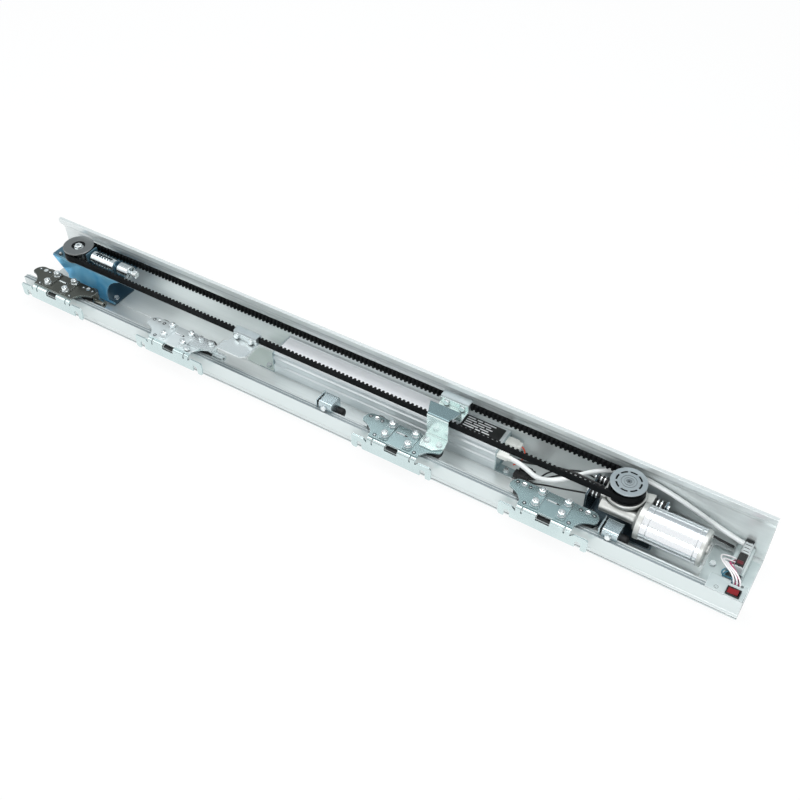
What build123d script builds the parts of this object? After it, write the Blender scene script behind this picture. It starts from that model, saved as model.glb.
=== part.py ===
from build123d import *
from math import atan2, cos, pi, radians, sin, sqrt
import os

os.makedirs("parts", exist_ok=True)

# Fits
run_fit = 0.05
skin_gap = 0.3

# Header extrusion
track_length = 1420
left_end = -track_length / 2
right_end = track_length / 2
track_half_width = 63
base_t = 3
wall_t = 3
flange_height = 110
lip_depth = 10
rail_top = 44
rail_inner_y = -54
rail_wall = 2
bead_z = 38
bead_r = 3.5
bead_y = -51.5
wall_hole_r = 3.5
wall_hole_x = 370
wall_hole_y = -3

# Belt drive
tooth_pitch = 8
pulley_teeth = 21
axis_y = 17.5
idler_x = left_end + 79
drive_room = 217
belt_low = 79
belt_width = 12
pitch_line_above_land = 0.686
belt_back = 2.22
belt_tooth = 3.38
tooth_root_half = 2.6
tooth_tip_half = 1.6
mesh_gap = 0.5
belt_teeth = pulley_teeth + int(2 * (right_end - drive_room - idler_x) / tooth_pitch)
span = tooth_pitch * (belt_teeth - pulley_teeth) / 2
drive_x = idler_x + span
pitch_r = pulley_teeth * tooth_pitch / (2 * pi)
half_turn = pi * pitch_r
land_r = pitch_r - pitch_line_above_land
back_r = land_r + belt_back
tip_r = land_r - belt_tooth
belt_top = belt_low + belt_width

# Pulleys
flange_r = 29
flange_low = 76
tooth_low = 78
tooth_top = 95
pulley_top = 98
shaft_r = 5
bearing_r = 13
bearing_low = 84
bearing_top = 92
bolt_flange_r = 8.6
bolt_flange_t = 1.4
slot_ring_r = 19.4
slot_w = 3
slot_web = 4
slot_depth = 2.6
turned_rings = [12, 7.5]

# Carriages
carriage_x = {1: left_end + 86, 2: left_end + 369.5, 3: 127, 4: drive_x - 92.5}
plate_low = 50
plate_t = 3
plate_top = plate_low + plate_t
lobe_half = 75
lobe_r = 15
plate_back_y = -27
neck_half = 47
neck_y = -73
hanger_t = 3
hanger_front_y = -80
hanger_half = 76
hanger_low = 20
fold_half = 46
notch_x = 60.5
notch_w = 10
notch_top = 35
wheel_x = 54
wheel_y = -34
wheel_r = 17
wheel_half_w = 5
axle_r = 4
clamp_bolt_at = [(-22, -36), (22, -36), (-22, -61), (22, -61)]
foot_holes = [(43, -35), (65.5, -35), (37.5, -67.5)]
m6_r = 3
m5_r = 2.5
screw_flange_r = 5.3
screw_flange_t = 1
screw_hex_r = 4.8
pad_t = 2
bumper_r = 7

# Belt clamps
sheet_t = 2.5
jaw_leg = 6
jaw_thin = 2.5
jaw_top = 94
jaw_low = 78
clamp_a_x = (carriage_x[2] + 106.5, carriage_x[2] + 155.5)
clamp_b_x = (carriage_x[3] + 28, carriage_x[3] + 80)
bolts_a = (clamp_a_x[0] + 9, clamp_a_x[1] - 10)
bolts_b = (clamp_b_x[0] + 13, clamp_b_x[1] - 10)
jaw_flange_top = 92
upper_z = 80
bridge_z = 100
jaw_bolt_z = 86.6

# Idler end
bracket_top = 72
tension_z = 85
barrel_x = (idler_x + 39, idler_x + 93)
barrel_r = 12
barrel_wall = 1.5
spring_r = 8.2
spring_wire_r = 1.2
screw_r = 4
knob_x = (idler_x + 103, idler_x + 129)
knob_r = 12.4
lug_x = barrel_x[1] + 0.5
idler_bracket_x = (idler_x - 53, idler_x + 113)
idler_foot_x = (idler_x - 23, idler_x + 89)

# Drive unit
motor_y = -7.5
motor_z = 56
motor_r = 29
motor_x = (drive_x + 43, drive_x + 134)
cap_x = motor_x[1] + 10
worm_z = 54
worm_r = 10.5
worm_left = drive_x - 29
gear_r = 32
gear_low = 36
gear_top = 74
damper_z = 60
damper_r = 7
damper_y = (3, 32)
bracket_left = drive_x - 54
bracket_right = drive_x + 60
bracket_t = 3

# Control unit
box_x = (-171, 274)
box_y = (6.5, 59)
box_z = (3, 50)
box_wall = 2
cap_t = 2
foot_length = 32

# Mains end
mains_x = (right_end - 74, right_end - 1)
mains_t = 2
switch_plate_x = right_end - 57
wall_y = -34
stand_x = right_end - 43
stand_top = 24
terminal_x = (right_end - 34, right_end - 20)
terminal_y = (0, 58)
terminal_top = 38
rocker_centre = (right_end - 17.5, -53.5)
bezel_size = (21, 15)
rocker_well = (17.8, 11)
wire_slot_y = -37.5
rocker_pivot_z = 45.5
rocker_tilt = 9

# Stoppers
stopper_x = [-28, drive_x - 5]
stopper_w = 25
stopper_y = (-58, -30)
stopper_top = 60
stopper_t = 2
buffer_r = 8.8
buffer_y = -38
buffer_z = 32
buffer_length = 13

# Screws through sheet feet into the header's back plate: x, y and the sheet's top
idler_screws = [(idler_x + 79, 12, base_t + sheet_t), (idler_x - 9, 40, base_t + sheet_t)]
box_screws = [(box_x[0] - 18, 14, base_t + cap_t), (box_x[1] + 18, 14, base_t + cap_t)]
drive_screws = [(drive_x - 23, 46, base_t + bracket_t), (drive_x + 37, 46, base_t + bracket_t)]
mains_screws = [(mains_x[0] + 10, 12, base_t + mains_t), (mains_x[0] + 64, -12, base_t + mains_t)]
base_screws = idler_screws + box_screws + drive_screws + mains_screws


def keep(piece, label):
    piece.part.label = label
    export_step(piece.part, f"parts/{label}.step")


def on_belt(s, r):
    """Point at pitch length s along the loop, r from the line of pulley axes."""
    if s < span:
        return (idler_x + s, axis_y - r)
    if s < span + half_turn:
        a = (s - span) / pitch_r - pi / 2
        return (drive_x + r * cos(a), axis_y + r * sin(a))
    if s < 2 * span + half_turn:
        return (drive_x - (s - span - half_turn), axis_y + r)
    a = (s - 2 * span - half_turn) / pitch_r + pi / 2
    return (idler_x + r * cos(a), axis_y + r * sin(a))


def tooth_outline(s):
    return [
        on_belt(s - tooth_root_half, land_r),
        on_belt(s - tooth_tip_half, tip_r),
        on_belt(s + tooth_tip_half, tip_r),
        on_belt(s + tooth_root_half, land_r),
    ]


def pulley_outline(centre_x, first_s):
    """Grooves of a pulley, in step with the belt's teeth at first_s."""
    x, y = on_belt(first_s, pitch_r)
    a0 = atan2(y - axis_y, x - centre_x)
    outer = land_r - skin_gap
    inner = tip_r - mesh_gap
    root = (tooth_root_half + mesh_gap) / pitch_r
    tip = (tooth_tip_half + mesh_gap) / pitch_r
    points = []
    for k in range(pulley_teeth):
        a = a0 + 2 * pi * k / pulley_teeth
        for r, da in ((outer, -root), (inner, -tip), (inner, tip), (outer, root)):
            points.append((centre_x + r * cos(a + da), axis_y + r * sin(a + da)))
    return points


# Header: base, flange with hooked lip, floor groove and hollow rail with a round bead
with BuildPart() as header_track:
    with BuildSketch(Plane.YZ.offset(-track_length / 2)):
        with BuildLine():
            w = track_half_width
            Polyline(
                (bead_y, bead_z + bead_r),
                (rail_inner_y, bead_z + bead_r),
                (rail_inner_y, rail_top),
                (-57.4, rail_top),
                (-58, rail_top - 0.8),
                (-58.6, rail_top),
                (-w, rail_top),
                (-w, 13.4),
                (-w + 0.8, 12.6),
                (-w, 11.8),
                (-w, 6.8),
                (-w + 0.8, 6),
                (-w, 5.2),
                (-w, 1),
                (1 - w, 0),
                (w, 0),
                (w, flange_height - 7),
                (w - 7, flange_height),
                (w - wall_t - lip_depth, flange_height),
                (w - wall_t - lip_depth, flange_height - 9),
                (w - wall_t - 2.5, 89),
                (w - wall_t, 82),
                (w - wall_t, base_t),
                (6, base_t),
                (5.4, base_t - 0.8),
                (4.6, base_t - 0.8),
                (4, base_t),
                (rail_inner_y, base_t),
                (rail_inner_y, bead_z - bead_r),
                (bead_y, bead_z - bead_r),
            )
            ThreePointArc(
                (bead_y, bead_z - bead_r), (bead_y + bead_r, bead_z), (bead_y, bead_z + bead_r)
            )
        make_face()
        with BuildLine():
            Polyline(
                (rail_wall - w, base_t),
                (rail_inner_y - rail_wall, base_t),
                (rail_inner_y - rail_wall, rail_top - rail_wall),
                (rail_wall - w, rail_top - rail_wall),
                close=True,
            )
        make_face(mode=Mode.SUBTRACT)
    extrude(amount=track_length)
    with BuildSketch(Plane.XY):
        with Locations((-wall_hole_x, wall_hole_y), (wall_hole_x, wall_hole_y)):
            Circle(wall_hole_r)
        with Locations(*[(x, y) for x, y, top in base_screws]):
            Circle(m5_r + run_fit)
    extrude(amount=base_t, mode=Mode.SUBTRACT)
    with BuildSketch(Plane.XY.offset(28)):
        with Locations((rocker_centre[0], -53)):
            Rectangle(bezel_size[0] + 3, 16)
    extrude(amount=rail_top, mode=Mode.SUBTRACT)
keep(header_track, "header_track")


# Toothed belt: smooth back, one tooth every 8 mm inside
with BuildPart() as toothed_belt:
    with BuildSketch(Plane.XY.offset(belt_low)):
        with Locations(((idler_x + drive_x) / 2, axis_y)):
            SlotCenterToCenter(span, 2 * back_r)
        with BuildLine():
            loop = []
            for k in range(belt_teeth):
                loop += tooth_outline(tooth_pitch * (k + 0.5))
            Polyline(*loop, close=True)
        make_face(mode=Mode.SUBTRACT)
    extrude(amount=belt_width)
keep(toothed_belt, "toothed_belt")


# Idler pulley: toothed ring between two flanges, bored from the top for its bearing
with BuildPart() as idler_pulley:
    with BuildSketch(Plane.XY.offset(tooth_low)):
        with BuildLine():
            first = tooth_pitch * (int((2 * span + half_turn) / tooth_pitch) + 1.5)
            Polyline(*pulley_outline(idler_x, first), close=True)
        make_face()
    extrude(amount=tooth_top - tooth_low)
    with BuildSketch(Plane.XY.offset(flange_low), Plane.XY.offset(tooth_top)):
        with Locations((idler_x, axis_y)):
            Circle(flange_r)
    extrude(amount=tooth_low - flange_low)
    with BuildSketch(Plane.XY.offset(tooth_top)):
        with Locations((idler_x, axis_y)):
            Circle(flange_r)
    extrude(amount=pulley_top - tooth_top)
    chamfer(idler_pulley.edges().group_by(Axis.Z)[-1], 0.6)
    with BuildSketch(Plane.XY.offset(flange_low)):
        with Locations((idler_x, axis_y)):
            Circle(bearing_r - 3)
    extrude(amount=pulley_top, mode=Mode.SUBTRACT)
    with BuildSketch(Plane.XY.offset(bearing_low)):
        with Locations((idler_x, axis_y)):
            Circle(bearing_r)
    extrude(amount=pulley_top, mode=Mode.SUBTRACT)
keep(idler_pulley, "idler_pulley")

# Sealed ball bearing pressed into the idler pulley, closed between its rings
with BuildPart() as idler_bearing:
    with BuildSketch(Plane.XZ.offset(-axis_y)):
        with BuildLine():
            Polyline(
                (idler_x + shaft_r + run_fit, bearing_low),
                (idler_x + bearing_r, bearing_low),
                (idler_x + bearing_r, bearing_top),
                (idler_x + bearing_r - 2.2, bearing_top),
                (idler_x + bearing_r - 2.8, bearing_top - 0.5),
                (idler_x + shaft_r + 2.8, bearing_top - 0.5),
                (idler_x + shaft_r + 2.2, bearing_top),
                (idler_x + shaft_r + run_fit, bearing_top),
                close=True,
            )
        make_face()
    revolve(axis=Axis((idler_x, axis_y, 0), (0, 0, 1)))
keep(idler_bearing, "idler_bearing")

# Shoulder bolt of the idler pulley with a hexagon head above and a nut under the bracket
with BuildPart() as idler_axle:
    with BuildSketch(Plane.XY.offset(62)):
        with Locations((idler_x, axis_y)):
            Circle(shaft_r)
    extrude(amount=bearing_top + 0.6 - 62)
    with BuildSketch(Plane.XY.offset(bearing_top + 0.6)):
        with Locations((idler_x, axis_y)):
            Circle(bolt_flange_r)
    extrude(amount=bolt_flange_t)
    with BuildSketch(Plane.XY.offset(bearing_top + 0.6 + bolt_flange_t)):
        with Locations((idler_x, axis_y)):
            RegularPolygon(7.5, 6)
    extrude(amount=5)
    chamfer(idler_axle.edges().group_by(Axis.Z)[-1], 0.9)
    with BuildSketch(Plane.XY.offset(bearing_top + 3.6 + bolt_flange_t)):
        with Locations((idler_x, axis_y)):
            Circle(2.2)
    extrude(amount=3, mode=Mode.SUBTRACT)
    with BuildSketch(Plane.XY.offset(bracket_top - sheet_t - 6)):
        with Locations((idler_x, axis_y)):
            RegularPolygon(8.5, 6)
    extrude(amount=6)
keep(idler_axle, "idler_axle")

# Sliding plate that carries the idler axle, turned up at its end for the tension screw
with BuildPart() as idler_slider:
    with BuildSketch(Plane.XZ.offset(-axis_y - 14)):
        with BuildLine():
            mid = bracket_top + sheet_t / 2
            upright_x = barrel_x[0] - 6.5
            FilletPolyline((idler_x - 21, mid), (upright_x, mid), (upright_x, 97), radius=2)
        trace(line_width=sheet_t)
    extrude(amount=28)
    with BuildSketch(Plane.XY.offset(bracket_top)):
        with Locations((idler_x, axis_y)):
            Circle(shaft_r + run_fit)
    extrude(amount=sheet_t, mode=Mode.SUBTRACT)
    with BuildSketch(Plane.YZ.offset(upright_x - sheet_t)):
        with Locations((axis_y, tension_z)):
            Circle(screw_r + run_fit)
    extrude(amount=2 * sheet_t, mode=Mode.SUBTRACT)
keep(idler_slider, "idler_slider")

# Folded idler bracket: top plate with a slot for the axle, tapered front wall, foot and lug
with BuildPart() as idler_bracket:
    with BuildSketch(Plane.YZ.offset(idler_bracket_x[0])):
        with BuildLine():
            half = sheet_t / 2
            FilletPolyline(
                (51, bracket_top - half),
                (-5 + half, bracket_top - half),
                (-5 + half, base_t + half),
                (50, base_t + half),
                radius=2.5,
            )
        trace(line_width=sheet_t)
    extrude(amount=idler_bracket_x[1] - idler_bracket_x[0])
    with BuildSketch(Plane.XZ.offset(-60)):
        with BuildLine():
            top_left, top_right = idler_bracket_x
            foot_left, foot_right = idler_foot_x
            Polyline(
                (foot_right, 10),
                (foot_right, 0),
                (foot_left, 0),
                (foot_left, 36),
                (top_left, bracket_top - sheet_t),
                (top_left, bracket_top),
                (top_right, bracket_top),
                (top_right, bracket_top - sheet_t),
            )
            ThreePointArc(
                (top_right, bracket_top - sheet_t),
                (foot_right - 6, 47),
                (foot_right - 16, 10),
            )
            Line((foot_right - 16, 10), (foot_right, 10))
        make_face()
    extrude(amount=80, mode=Mode.INTERSECT)
    with BuildSketch(Plane.XY.offset(bracket_top - sheet_t)):
        with Locations((idler_x, axis_y)):
            SlotOverall(26, 2 * shaft_r + 0.6)
    extrude(amount=sheet_t, mode=Mode.SUBTRACT)
    with BuildSketch(Plane.YZ.offset(lug_x)):
        with BuildLine():
            Line((axis_y - 9, bracket_top - 1), (axis_y - 9, tension_z + 3))
            ThreePointArc(
                (axis_y - 9, tension_z + 3), (axis_y, tension_z + 12), (axis_y + 9, tension_z + 3)
            )
            Line((axis_y + 9, tension_z + 3), (axis_y + 9, bracket_top - 1))
            Line((axis_y + 9, bracket_top - 1), (axis_y - 9, bracket_top - 1))
        make_face()
    extrude(amount=sheet_t)
    with BuildSketch(Plane.YZ.offset(lug_x)):
        with Locations((axis_y, tension_z)):
            Circle(screw_r + skin_gap)
    extrude(amount=sheet_t, mode=Mode.SUBTRACT)
    with BuildSketch(Plane.XY):
        with Locations(*[(x, y) for x, y, top in idler_screws]):
            Circle(m5_r + run_fit)
    extrude(amount=10, mode=Mode.SUBTRACT)
keep(idler_bracket, "idler_bracket")

# Spring barrel: slotted tube with a closed right end, on a flat foot
with BuildPart() as tension_barrel:
    length = barrel_x[1] - barrel_x[0]
    with BuildSketch(Plane.YZ.offset(barrel_x[0])):
        with Locations((axis_y, tension_z)):
            Circle(barrel_r)
    extrude(amount=length)
    with BuildSketch(Plane.XY.offset(bracket_top)):
        with Locations((sum(barrel_x) / 2, axis_y)):
            Rectangle(length - 10, 10)
    extrude(amount=4)
    with BuildSketch(Plane.YZ.offset(barrel_x[0])):
        with Locations((axis_y, tension_z)):
            Circle(barrel_r - barrel_wall)
    extrude(amount=length - 3, mode=Mode.SUBTRACT)
    with BuildSketch(Plane.YZ.offset(barrel_x[0])):
        with Locations((axis_y, tension_z)):
            Circle(screw_r + skin_gap)
    extrude(amount=length, mode=Mode.SUBTRACT)
    with BuildSketch(Plane.XY.offset(tension_z)):
        with Locations((sum(barrel_x) / 2 - 1, axis_y)):
            SlotOverall(length - 14, 11)
    extrude(amount=barrel_r, mode=Mode.SUBTRACT)
    with BuildSketch(Plane.XZ.offset(-axis_y - barrel_r)):
        with Locations((sum(barrel_x) / 2 - 1, tension_z)):
            SlotOverall(length - 14, 7)
    extrude(amount=2 * barrel_r, mode=Mode.SUBTRACT)
keep(tension_barrel, "tension_barrel")

# Compression spring in the barrel
with BuildPart() as tension_spring:
    with BuildLine():
        Helix(
            pitch=6.4,
            height=6.4 * 6,
            radius=spring_r,
            center=(barrel_x[0] + 6, axis_y, tension_z),
            direction=(1, 0, 0),
        )
    coil = tension_spring.pending_edges[0]
    with BuildSketch(Plane(origin=coil @ 0, z_dir=coil % 0)):
        RegularPolygon(spring_wire_r, 8)
    sweep(is_frenet=True)
keep(tension_spring, "tension_spring")

# Tension screw with a hexagon at its right end
with BuildPart() as tension_screw:
    with BuildSketch(Plane.YZ.offset(barrel_x[0] - 12)):
        with Locations((axis_y, tension_z)):
            Circle(screw_r)
    extrude(amount=knob_x[1] + 10 - barrel_x[0] + 12)
    with BuildSketch(Plane.YZ.offset(knob_x[1] + 6)):
        with Locations((axis_y, tension_z)):
            RegularPolygon(7, 6)
    extrude(amount=8)
    chamfer(tension_screw.faces().sort_by(Axis.X)[-1].edges(), 0.8)
keep(tension_screw, "tension_screw")

# Round tension knob with a slot across its outer face
with BuildPart() as tension_knob:
    with BuildSketch(Plane.YZ.offset(knob_x[0])):
        with Locations((axis_y, tension_z)):
            Circle(knob_r)
            Circle(screw_r + run_fit, mode=Mode.SUBTRACT)
    extrude(amount=knob_x[1] - knob_x[0])
    chamfer(tension_knob.edges().filter_by(GeomType.CIRCLE).sort_by(SortBy.RADIUS)[-2:], 1.2)
    with BuildSketch(Plane.YZ.offset(knob_x[1] - 2.5)):
        with Locations(Location((axis_y, tension_z), 35)):
            Rectangle(2 * knob_r, 2.6)
    extrude(amount=2.5, mode=Mode.SUBTRACT)
keep(tension_knob, "tension_knob")


# Drive pulley: toothed ring, lower flange and a disc with eight arc slots and turned rings
with BuildPart() as drive_pulley:
    with BuildSketch(Plane.XY.offset(tooth_low)):
        with BuildLine():
            first = tooth_pitch * (int(span / tooth_pitch) + 1.5)
            Polyline(*pulley_outline(drive_x, first), close=True)
        make_face()
    extrude(amount=tooth_top - tooth_low)
    with BuildSketch(Plane.XY.offset(flange_low)):
        with Locations((drive_x, axis_y)):
            Circle(flange_r)
    extrude(amount=tooth_low - flange_low)
    with BuildSketch(Plane.XY.offset(tooth_top)):
        with Locations((drive_x, axis_y)):
            Circle(flange_r)
    extrude(amount=pulley_top - tooth_top)
    chamfer(drive_pulley.edges().group_by(Axis.Z)[-1], 0.6)
    with BuildSketch(Plane.XY.offset(pulley_top - slot_depth)):
        with Locations((drive_x, axis_y)):
            Circle(slot_ring_r + slot_w / 2)
            Circle(slot_ring_r - slot_w / 2, mode=Mode.SUBTRACT)
            with PolarLocations(slot_ring_r, 8, start_angle=22.5):
                Rectangle(slot_w + 2, slot_web, mode=Mode.SUBTRACT)
    extrude(amount=slot_depth, mode=Mode.SUBTRACT)
    with BuildSketch(Plane.XY.offset(pulley_top - 0.8)):
        with Locations((drive_x, axis_y)):
            for ring_r in turned_rings:
                Circle(ring_r + 0.7)
                Circle(ring_r - 0.7, mode=Mode.SUBTRACT)
    extrude(amount=1, mode=Mode.SUBTRACT)
    with BuildSketch(Plane.XY.offset(flange_low)):
        with Locations((drive_x, axis_y)):
            Circle(shaft_r + run_fit)
    extrude(amount=pulley_top, mode=Mode.SUBTRACT)
keep(drive_pulley, "drive_pulley")

# Output shaft of the gearbox, centre-drilled, with the pulley on it
with BuildPart() as drive_shaft:
    with BuildSketch(Plane.XY.offset(gear_low + 6)):
        with Locations((drive_x, axis_y)):
            Circle(shaft_r)
    extrude(amount=pulley_top + 0.6 - gear_low - 6)
    chamfer(drive_shaft.faces().sort_by(Axis.Z)[-1].edges(), 0.6)
    with BuildSketch(Plane.XY.offset(pulley_top - 2)):
        with Locations((drive_x, axis_y)):
            Circle(1.6)
    extrude(amount=4, mode=Mode.SUBTRACT)
keep(drive_shaft, "drive_shaft")

# Cast gearbox: wheel housing with a rim, worm tube, motor flange and ears for the dampers
with BuildPart() as gearbox_housing:
    with BuildSketch(Plane.XZ.offset(-axis_y)):
        with BuildLine():
            Polyline(
                (drive_x, gear_low),
                (drive_x + 22, gear_low),
                (drive_x + 27, gear_low + 5),
                (drive_x + 27, 64),
                (drive_x + gear_r, 68),
                (drive_x + gear_r, gear_top),
                (drive_x + gear_r - 3, gear_top),
                (drive_x + gear_r - 4, gear_top - 2),
                (drive_x, gear_top - 2),
                close=True,
            )
        make_face()
    revolve(axis=Axis((drive_x, axis_y, 0), (0, 0, 1)))
    with BuildSketch(Plane.YZ.offset(worm_left)):
        with Locations((motor_y, worm_z)):
            Circle(worm_r)
    extrude(amount=motor_x[0] - worm_left - 4)
    fillet(gearbox_housing.faces().sort_by(Axis.X)[0].edges(), 2.5)
    with BuildSketch(Plane.YZ.offset(motor_x[0])):
        with Locations((motor_y, motor_z)):
            Circle(motor_r + 0.8)
    with BuildSketch(Plane.YZ.offset(motor_x[0] - 14)):
        with Locations((motor_y + 2, worm_z)):
            Circle(18)
    loft()
    with BuildSketch(Plane.YZ.offset(motor_x[0] - 8)):
        with Locations((motor_y, motor_z)):
            Circle(motor_r + 0.8)
    extrude(amount=8)
    with BuildSketch(Plane.XY.offset(52)):
        with BuildLine():
            Polyline(
                (worm_left - 4, -4),
                (worm_left, -4),
                (drive_x - 13, 2),
                (drive_x - 13, 36),
                (worm_left, 40),
                (worm_left - 4, 40),
                close=True,
            )
        make_face()
        with BuildLine():
            Polyline(
                (drive_x + 19, 14),
                (drive_x + 41, 20),
                (drive_x + 41, 40),
                (drive_x + 37, 40),
                (drive_x + 15, 34),
                close=True,
            )
        make_face()
    extrude(amount=16)
    with BuildSketch(Plane.YZ.offset(worm_left - 9)):
        with Locations(*[(y, damper_z) for y in damper_y]):
            Circle(m5_r + run_fit)
    extrude(amount=15, mode=Mode.SUBTRACT)
    with BuildSketch(Plane.YZ.offset(drive_x + 31)):
        with Locations((damper_y[1], damper_z)):
            Circle(m5_r + run_fit)
    extrude(amount=15, mode=Mode.SUBTRACT)
    with BuildSketch(Plane.XY.offset(gear_low + 5.9)):
        with Locations((drive_x, axis_y)):
            Circle(shaft_r + run_fit)
    extrude(amount=gear_top, mode=Mode.SUBTRACT)
keep(gearbox_housing, "gearbox_housing")

# Motor can, closed, with a rolled groove near each end
with BuildPart() as motor_can:
    with BuildSketch(Plane.XY.offset(motor_z)):
        with BuildLine():
            Polyline(
                (motor_x[0], motor_y),
                (motor_x[0], motor_y + motor_r),
                (motor_x[0] + 9, motor_y + motor_r),
                (motor_x[0] + 10, motor_y + motor_r - 0.8),
                (motor_x[0] + 11, motor_y + motor_r),
                (motor_x[1] - 8, motor_y + motor_r),
                (motor_x[1] - 7, motor_y + motor_r - 0.8),
                (motor_x[1] - 6, motor_y + motor_r),
                (motor_x[1], motor_y + motor_r),
                (motor_x[1], motor_y),
                close=True,
            )
        make_face()
    revolve(axis=Axis((0, motor_y, motor_z), (1, 0, 0)))
keep(motor_can, "motor_can")

# Cast end cap of the motor with a bearing boss
with BuildPart() as motor_end_cap:
    with BuildSketch(Plane.YZ.offset(motor_x[1])):
        with Locations((motor_y, motor_z)):
            Circle(motor_r + 0.5)
    extrude(amount=cap_x - motor_x[1] - 3)
    fillet(motor_end_cap.faces().sort_by(Axis.X)[-1].edges(), 3)
    with BuildSketch(Plane.YZ.offset(cap_x - 3)):
        with Locations((motor_y, motor_z)):
            Circle(9)
    extrude(amount=3)
    with BuildSketch(Plane.YZ.offset(cap_x - 3)):
        with Locations((motor_y, motor_z)):
            with PolarLocations(21, 2, start_angle=60):
                Circle(2.6)
    extrude(amount=1.6)
keep(motor_end_cap, "motor_end_cap")

# Folded motor bracket: base with two uprights for the rubber mountings
with BuildPart() as motor_bracket:
    half = bracket_t / 2
    with BuildSketch(Plane.XZ.offset(-52)):
        with BuildLine():
            FilletPolyline(
                (bracket_left + half, 66.5),
                (bracket_left + half, base_t + half),
                (bracket_right + half, base_t + half),
                (bracket_right + half, 66.5),
                radius=4,
            )
        trace(line_width=bracket_t)
    extrude(amount=66)
    with BuildSketch(Plane.YZ.offset(bracket_left - 1)):
        with BuildLine():
            Polyline((38.5, 70), (38.5, 40), (52, 14), (60, 14), (60, 70), close=True)
        make_face()
    extrude(amount=200, mode=Mode.SUBTRACT)
    with BuildSketch(Plane.YZ.offset(bracket_right - 1)):
        with BuildLine():
            Polyline((25.5, 70), (25.5, 26), (-20, 12), (-20, 70), close=True)
        make_face()
    extrude(amount=10, mode=Mode.SUBTRACT)
    with BuildSketch(Plane.YZ.offset(bracket_left)):
        with Locations((17.5, 70)):
            SlotOverall(34, 12, rotation=90)
        with Locations(*[(y, damper_z) for y in damper_y]):
            Circle(m5_r + run_fit)
    extrude(amount=bracket_t, mode=Mode.SUBTRACT)
    with BuildSketch(Plane.YZ.offset(bracket_right)):
        with Locations((damper_y[1], damper_z)):
            Circle(m5_r + run_fit)
    extrude(amount=bracket_t, mode=Mode.SUBTRACT)
    with BuildSketch(Plane.XY):
        with Locations(*[(x, y) for x, y, top in drive_screws]):
            Circle(m5_r + run_fit)
    extrude(amount=10, mode=Mode.SUBTRACT)
keep(motor_bracket, "motor_bracket")

# Vibration dampers between the bracket and the gearbox, three rubber rings on each bolt
ring_t = 4
washer_t = 2
stack_length = 3 * ring_t + 2 * washer_t
left_stacks = [(bracket_left + bracket_t, y) for y in damper_y]
right_stack = (bracket_right - stack_length - 2, damper_y[1])
damper_stacks = left_stacks + [right_stack]
with BuildPart() as rubber_dampers:
    for x0, y in damper_stacks:
        for k in range(3):
            with BuildSketch(Plane.YZ.offset(x0 + k * (ring_t + washer_t))):
                with Locations((y, damper_z)):
                    Circle(damper_r)
                    Circle(m5_r + run_fit, mode=Mode.SUBTRACT)
            extrude(amount=ring_t)
keep(rubber_dampers, "rubber_dampers")

# Damper bolts, each with two washers and a domed head
with BuildPart() as damper_bolts:
    for x0, y in damper_stacks:
        with BuildSketch(Plane.YZ.offset(x0 - bracket_t)):
            with Locations((y, damper_z)):
                Circle(m5_r)
        extrude(amount=24 if x0 < drive_x else 20)
        for k in range(2):
            with BuildSketch(Plane.YZ.offset(x0 + ring_t + k * (ring_t + washer_t))):
                with Locations((y, damper_z)):
                    Circle(damper_r + 0.6)
            extrude(amount=washer_t)
        head = x0 - bracket_t - 2.5 if x0 < drive_x else bracket_right + bracket_t
        with BuildSketch(Plane.YZ.offset(head)):
            with Locations((y, damper_z)):
                Circle(4.6)
        extrude(amount=2.5)
    with BuildSketch(Plane.YZ.offset(bracket_right - 1)):
        with Locations((damper_y[1], damper_z)):
            Circle(m5_r)
    extrude(amount=5)
keep(damper_bolts, "damper_bolts")


# Control unit housing: hollow extrusion with a fluted front
with BuildPart() as control_housing:
    y0, y1 = box_y
    z0, z1 = box_z
    with BuildSketch(Plane.YZ.offset(box_x[0])):
        with BuildLine():
            Polyline(
                (y0, z0),
                (y0, 22),
                (y0 + 2.3, 24),
                (y0 + 2.3, 33),
                (y0 + 0.3, 35),
                (y0 + 0.3, 39),
                (y0 + 2.8, 41),
                (y0 + 2.8, 47),
                (y0 + 5.5, z1),
                (y1, z1),
                (y1, z0),
                close=True,
            )
        make_face()
        with Locations(((y0 + y1) / 2 + 2.5, (z0 + z1) / 2)):
            Rectangle(y1 - y0 - 2 * box_wall - 5, z1 - z0 - 2 * box_wall, mode=Mode.SUBTRACT)
    extrude(amount=box_x[1] - box_x[0])
keep(control_housing, "control_housing")

# Two folded end covers of the control unit, each with a screw foot
with BuildPart() as control_end_caps:
    for side, x in ((-1, box_x[0]), (1, box_x[1])):
        mid = x + side * cap_t / 2
        with BuildSketch(Plane.XZ.offset(-box_y[1])):
            with BuildLine():
                FilletPolyline(
                    (mid, box_z[1]),
                    (mid, base_t + cap_t / 2),
                    (mid + side * foot_length, base_t + cap_t / 2),
                    radius=2,
                )
            trace(line_width=cap_t)
        extrude(amount=box_y[1] - box_y[0])
    with BuildSketch(Plane.XY):
        with Locations((box_x[0] - foot_length + 4, 44), (box_x[1] + foot_length - 4, 44)):
            Rectangle(2 * foot_length - 16, 40)
    extrude(amount=10, mode=Mode.SUBTRACT)
    with BuildSketch(Plane.XY):
        with Locations(*[(x, y) for x, y, top in box_screws]):
            Circle(m5_r + run_fit)
    extrude(amount=10, mode=Mode.SUBTRACT)
keep(control_end_caps, "control_end_caps")

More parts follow.
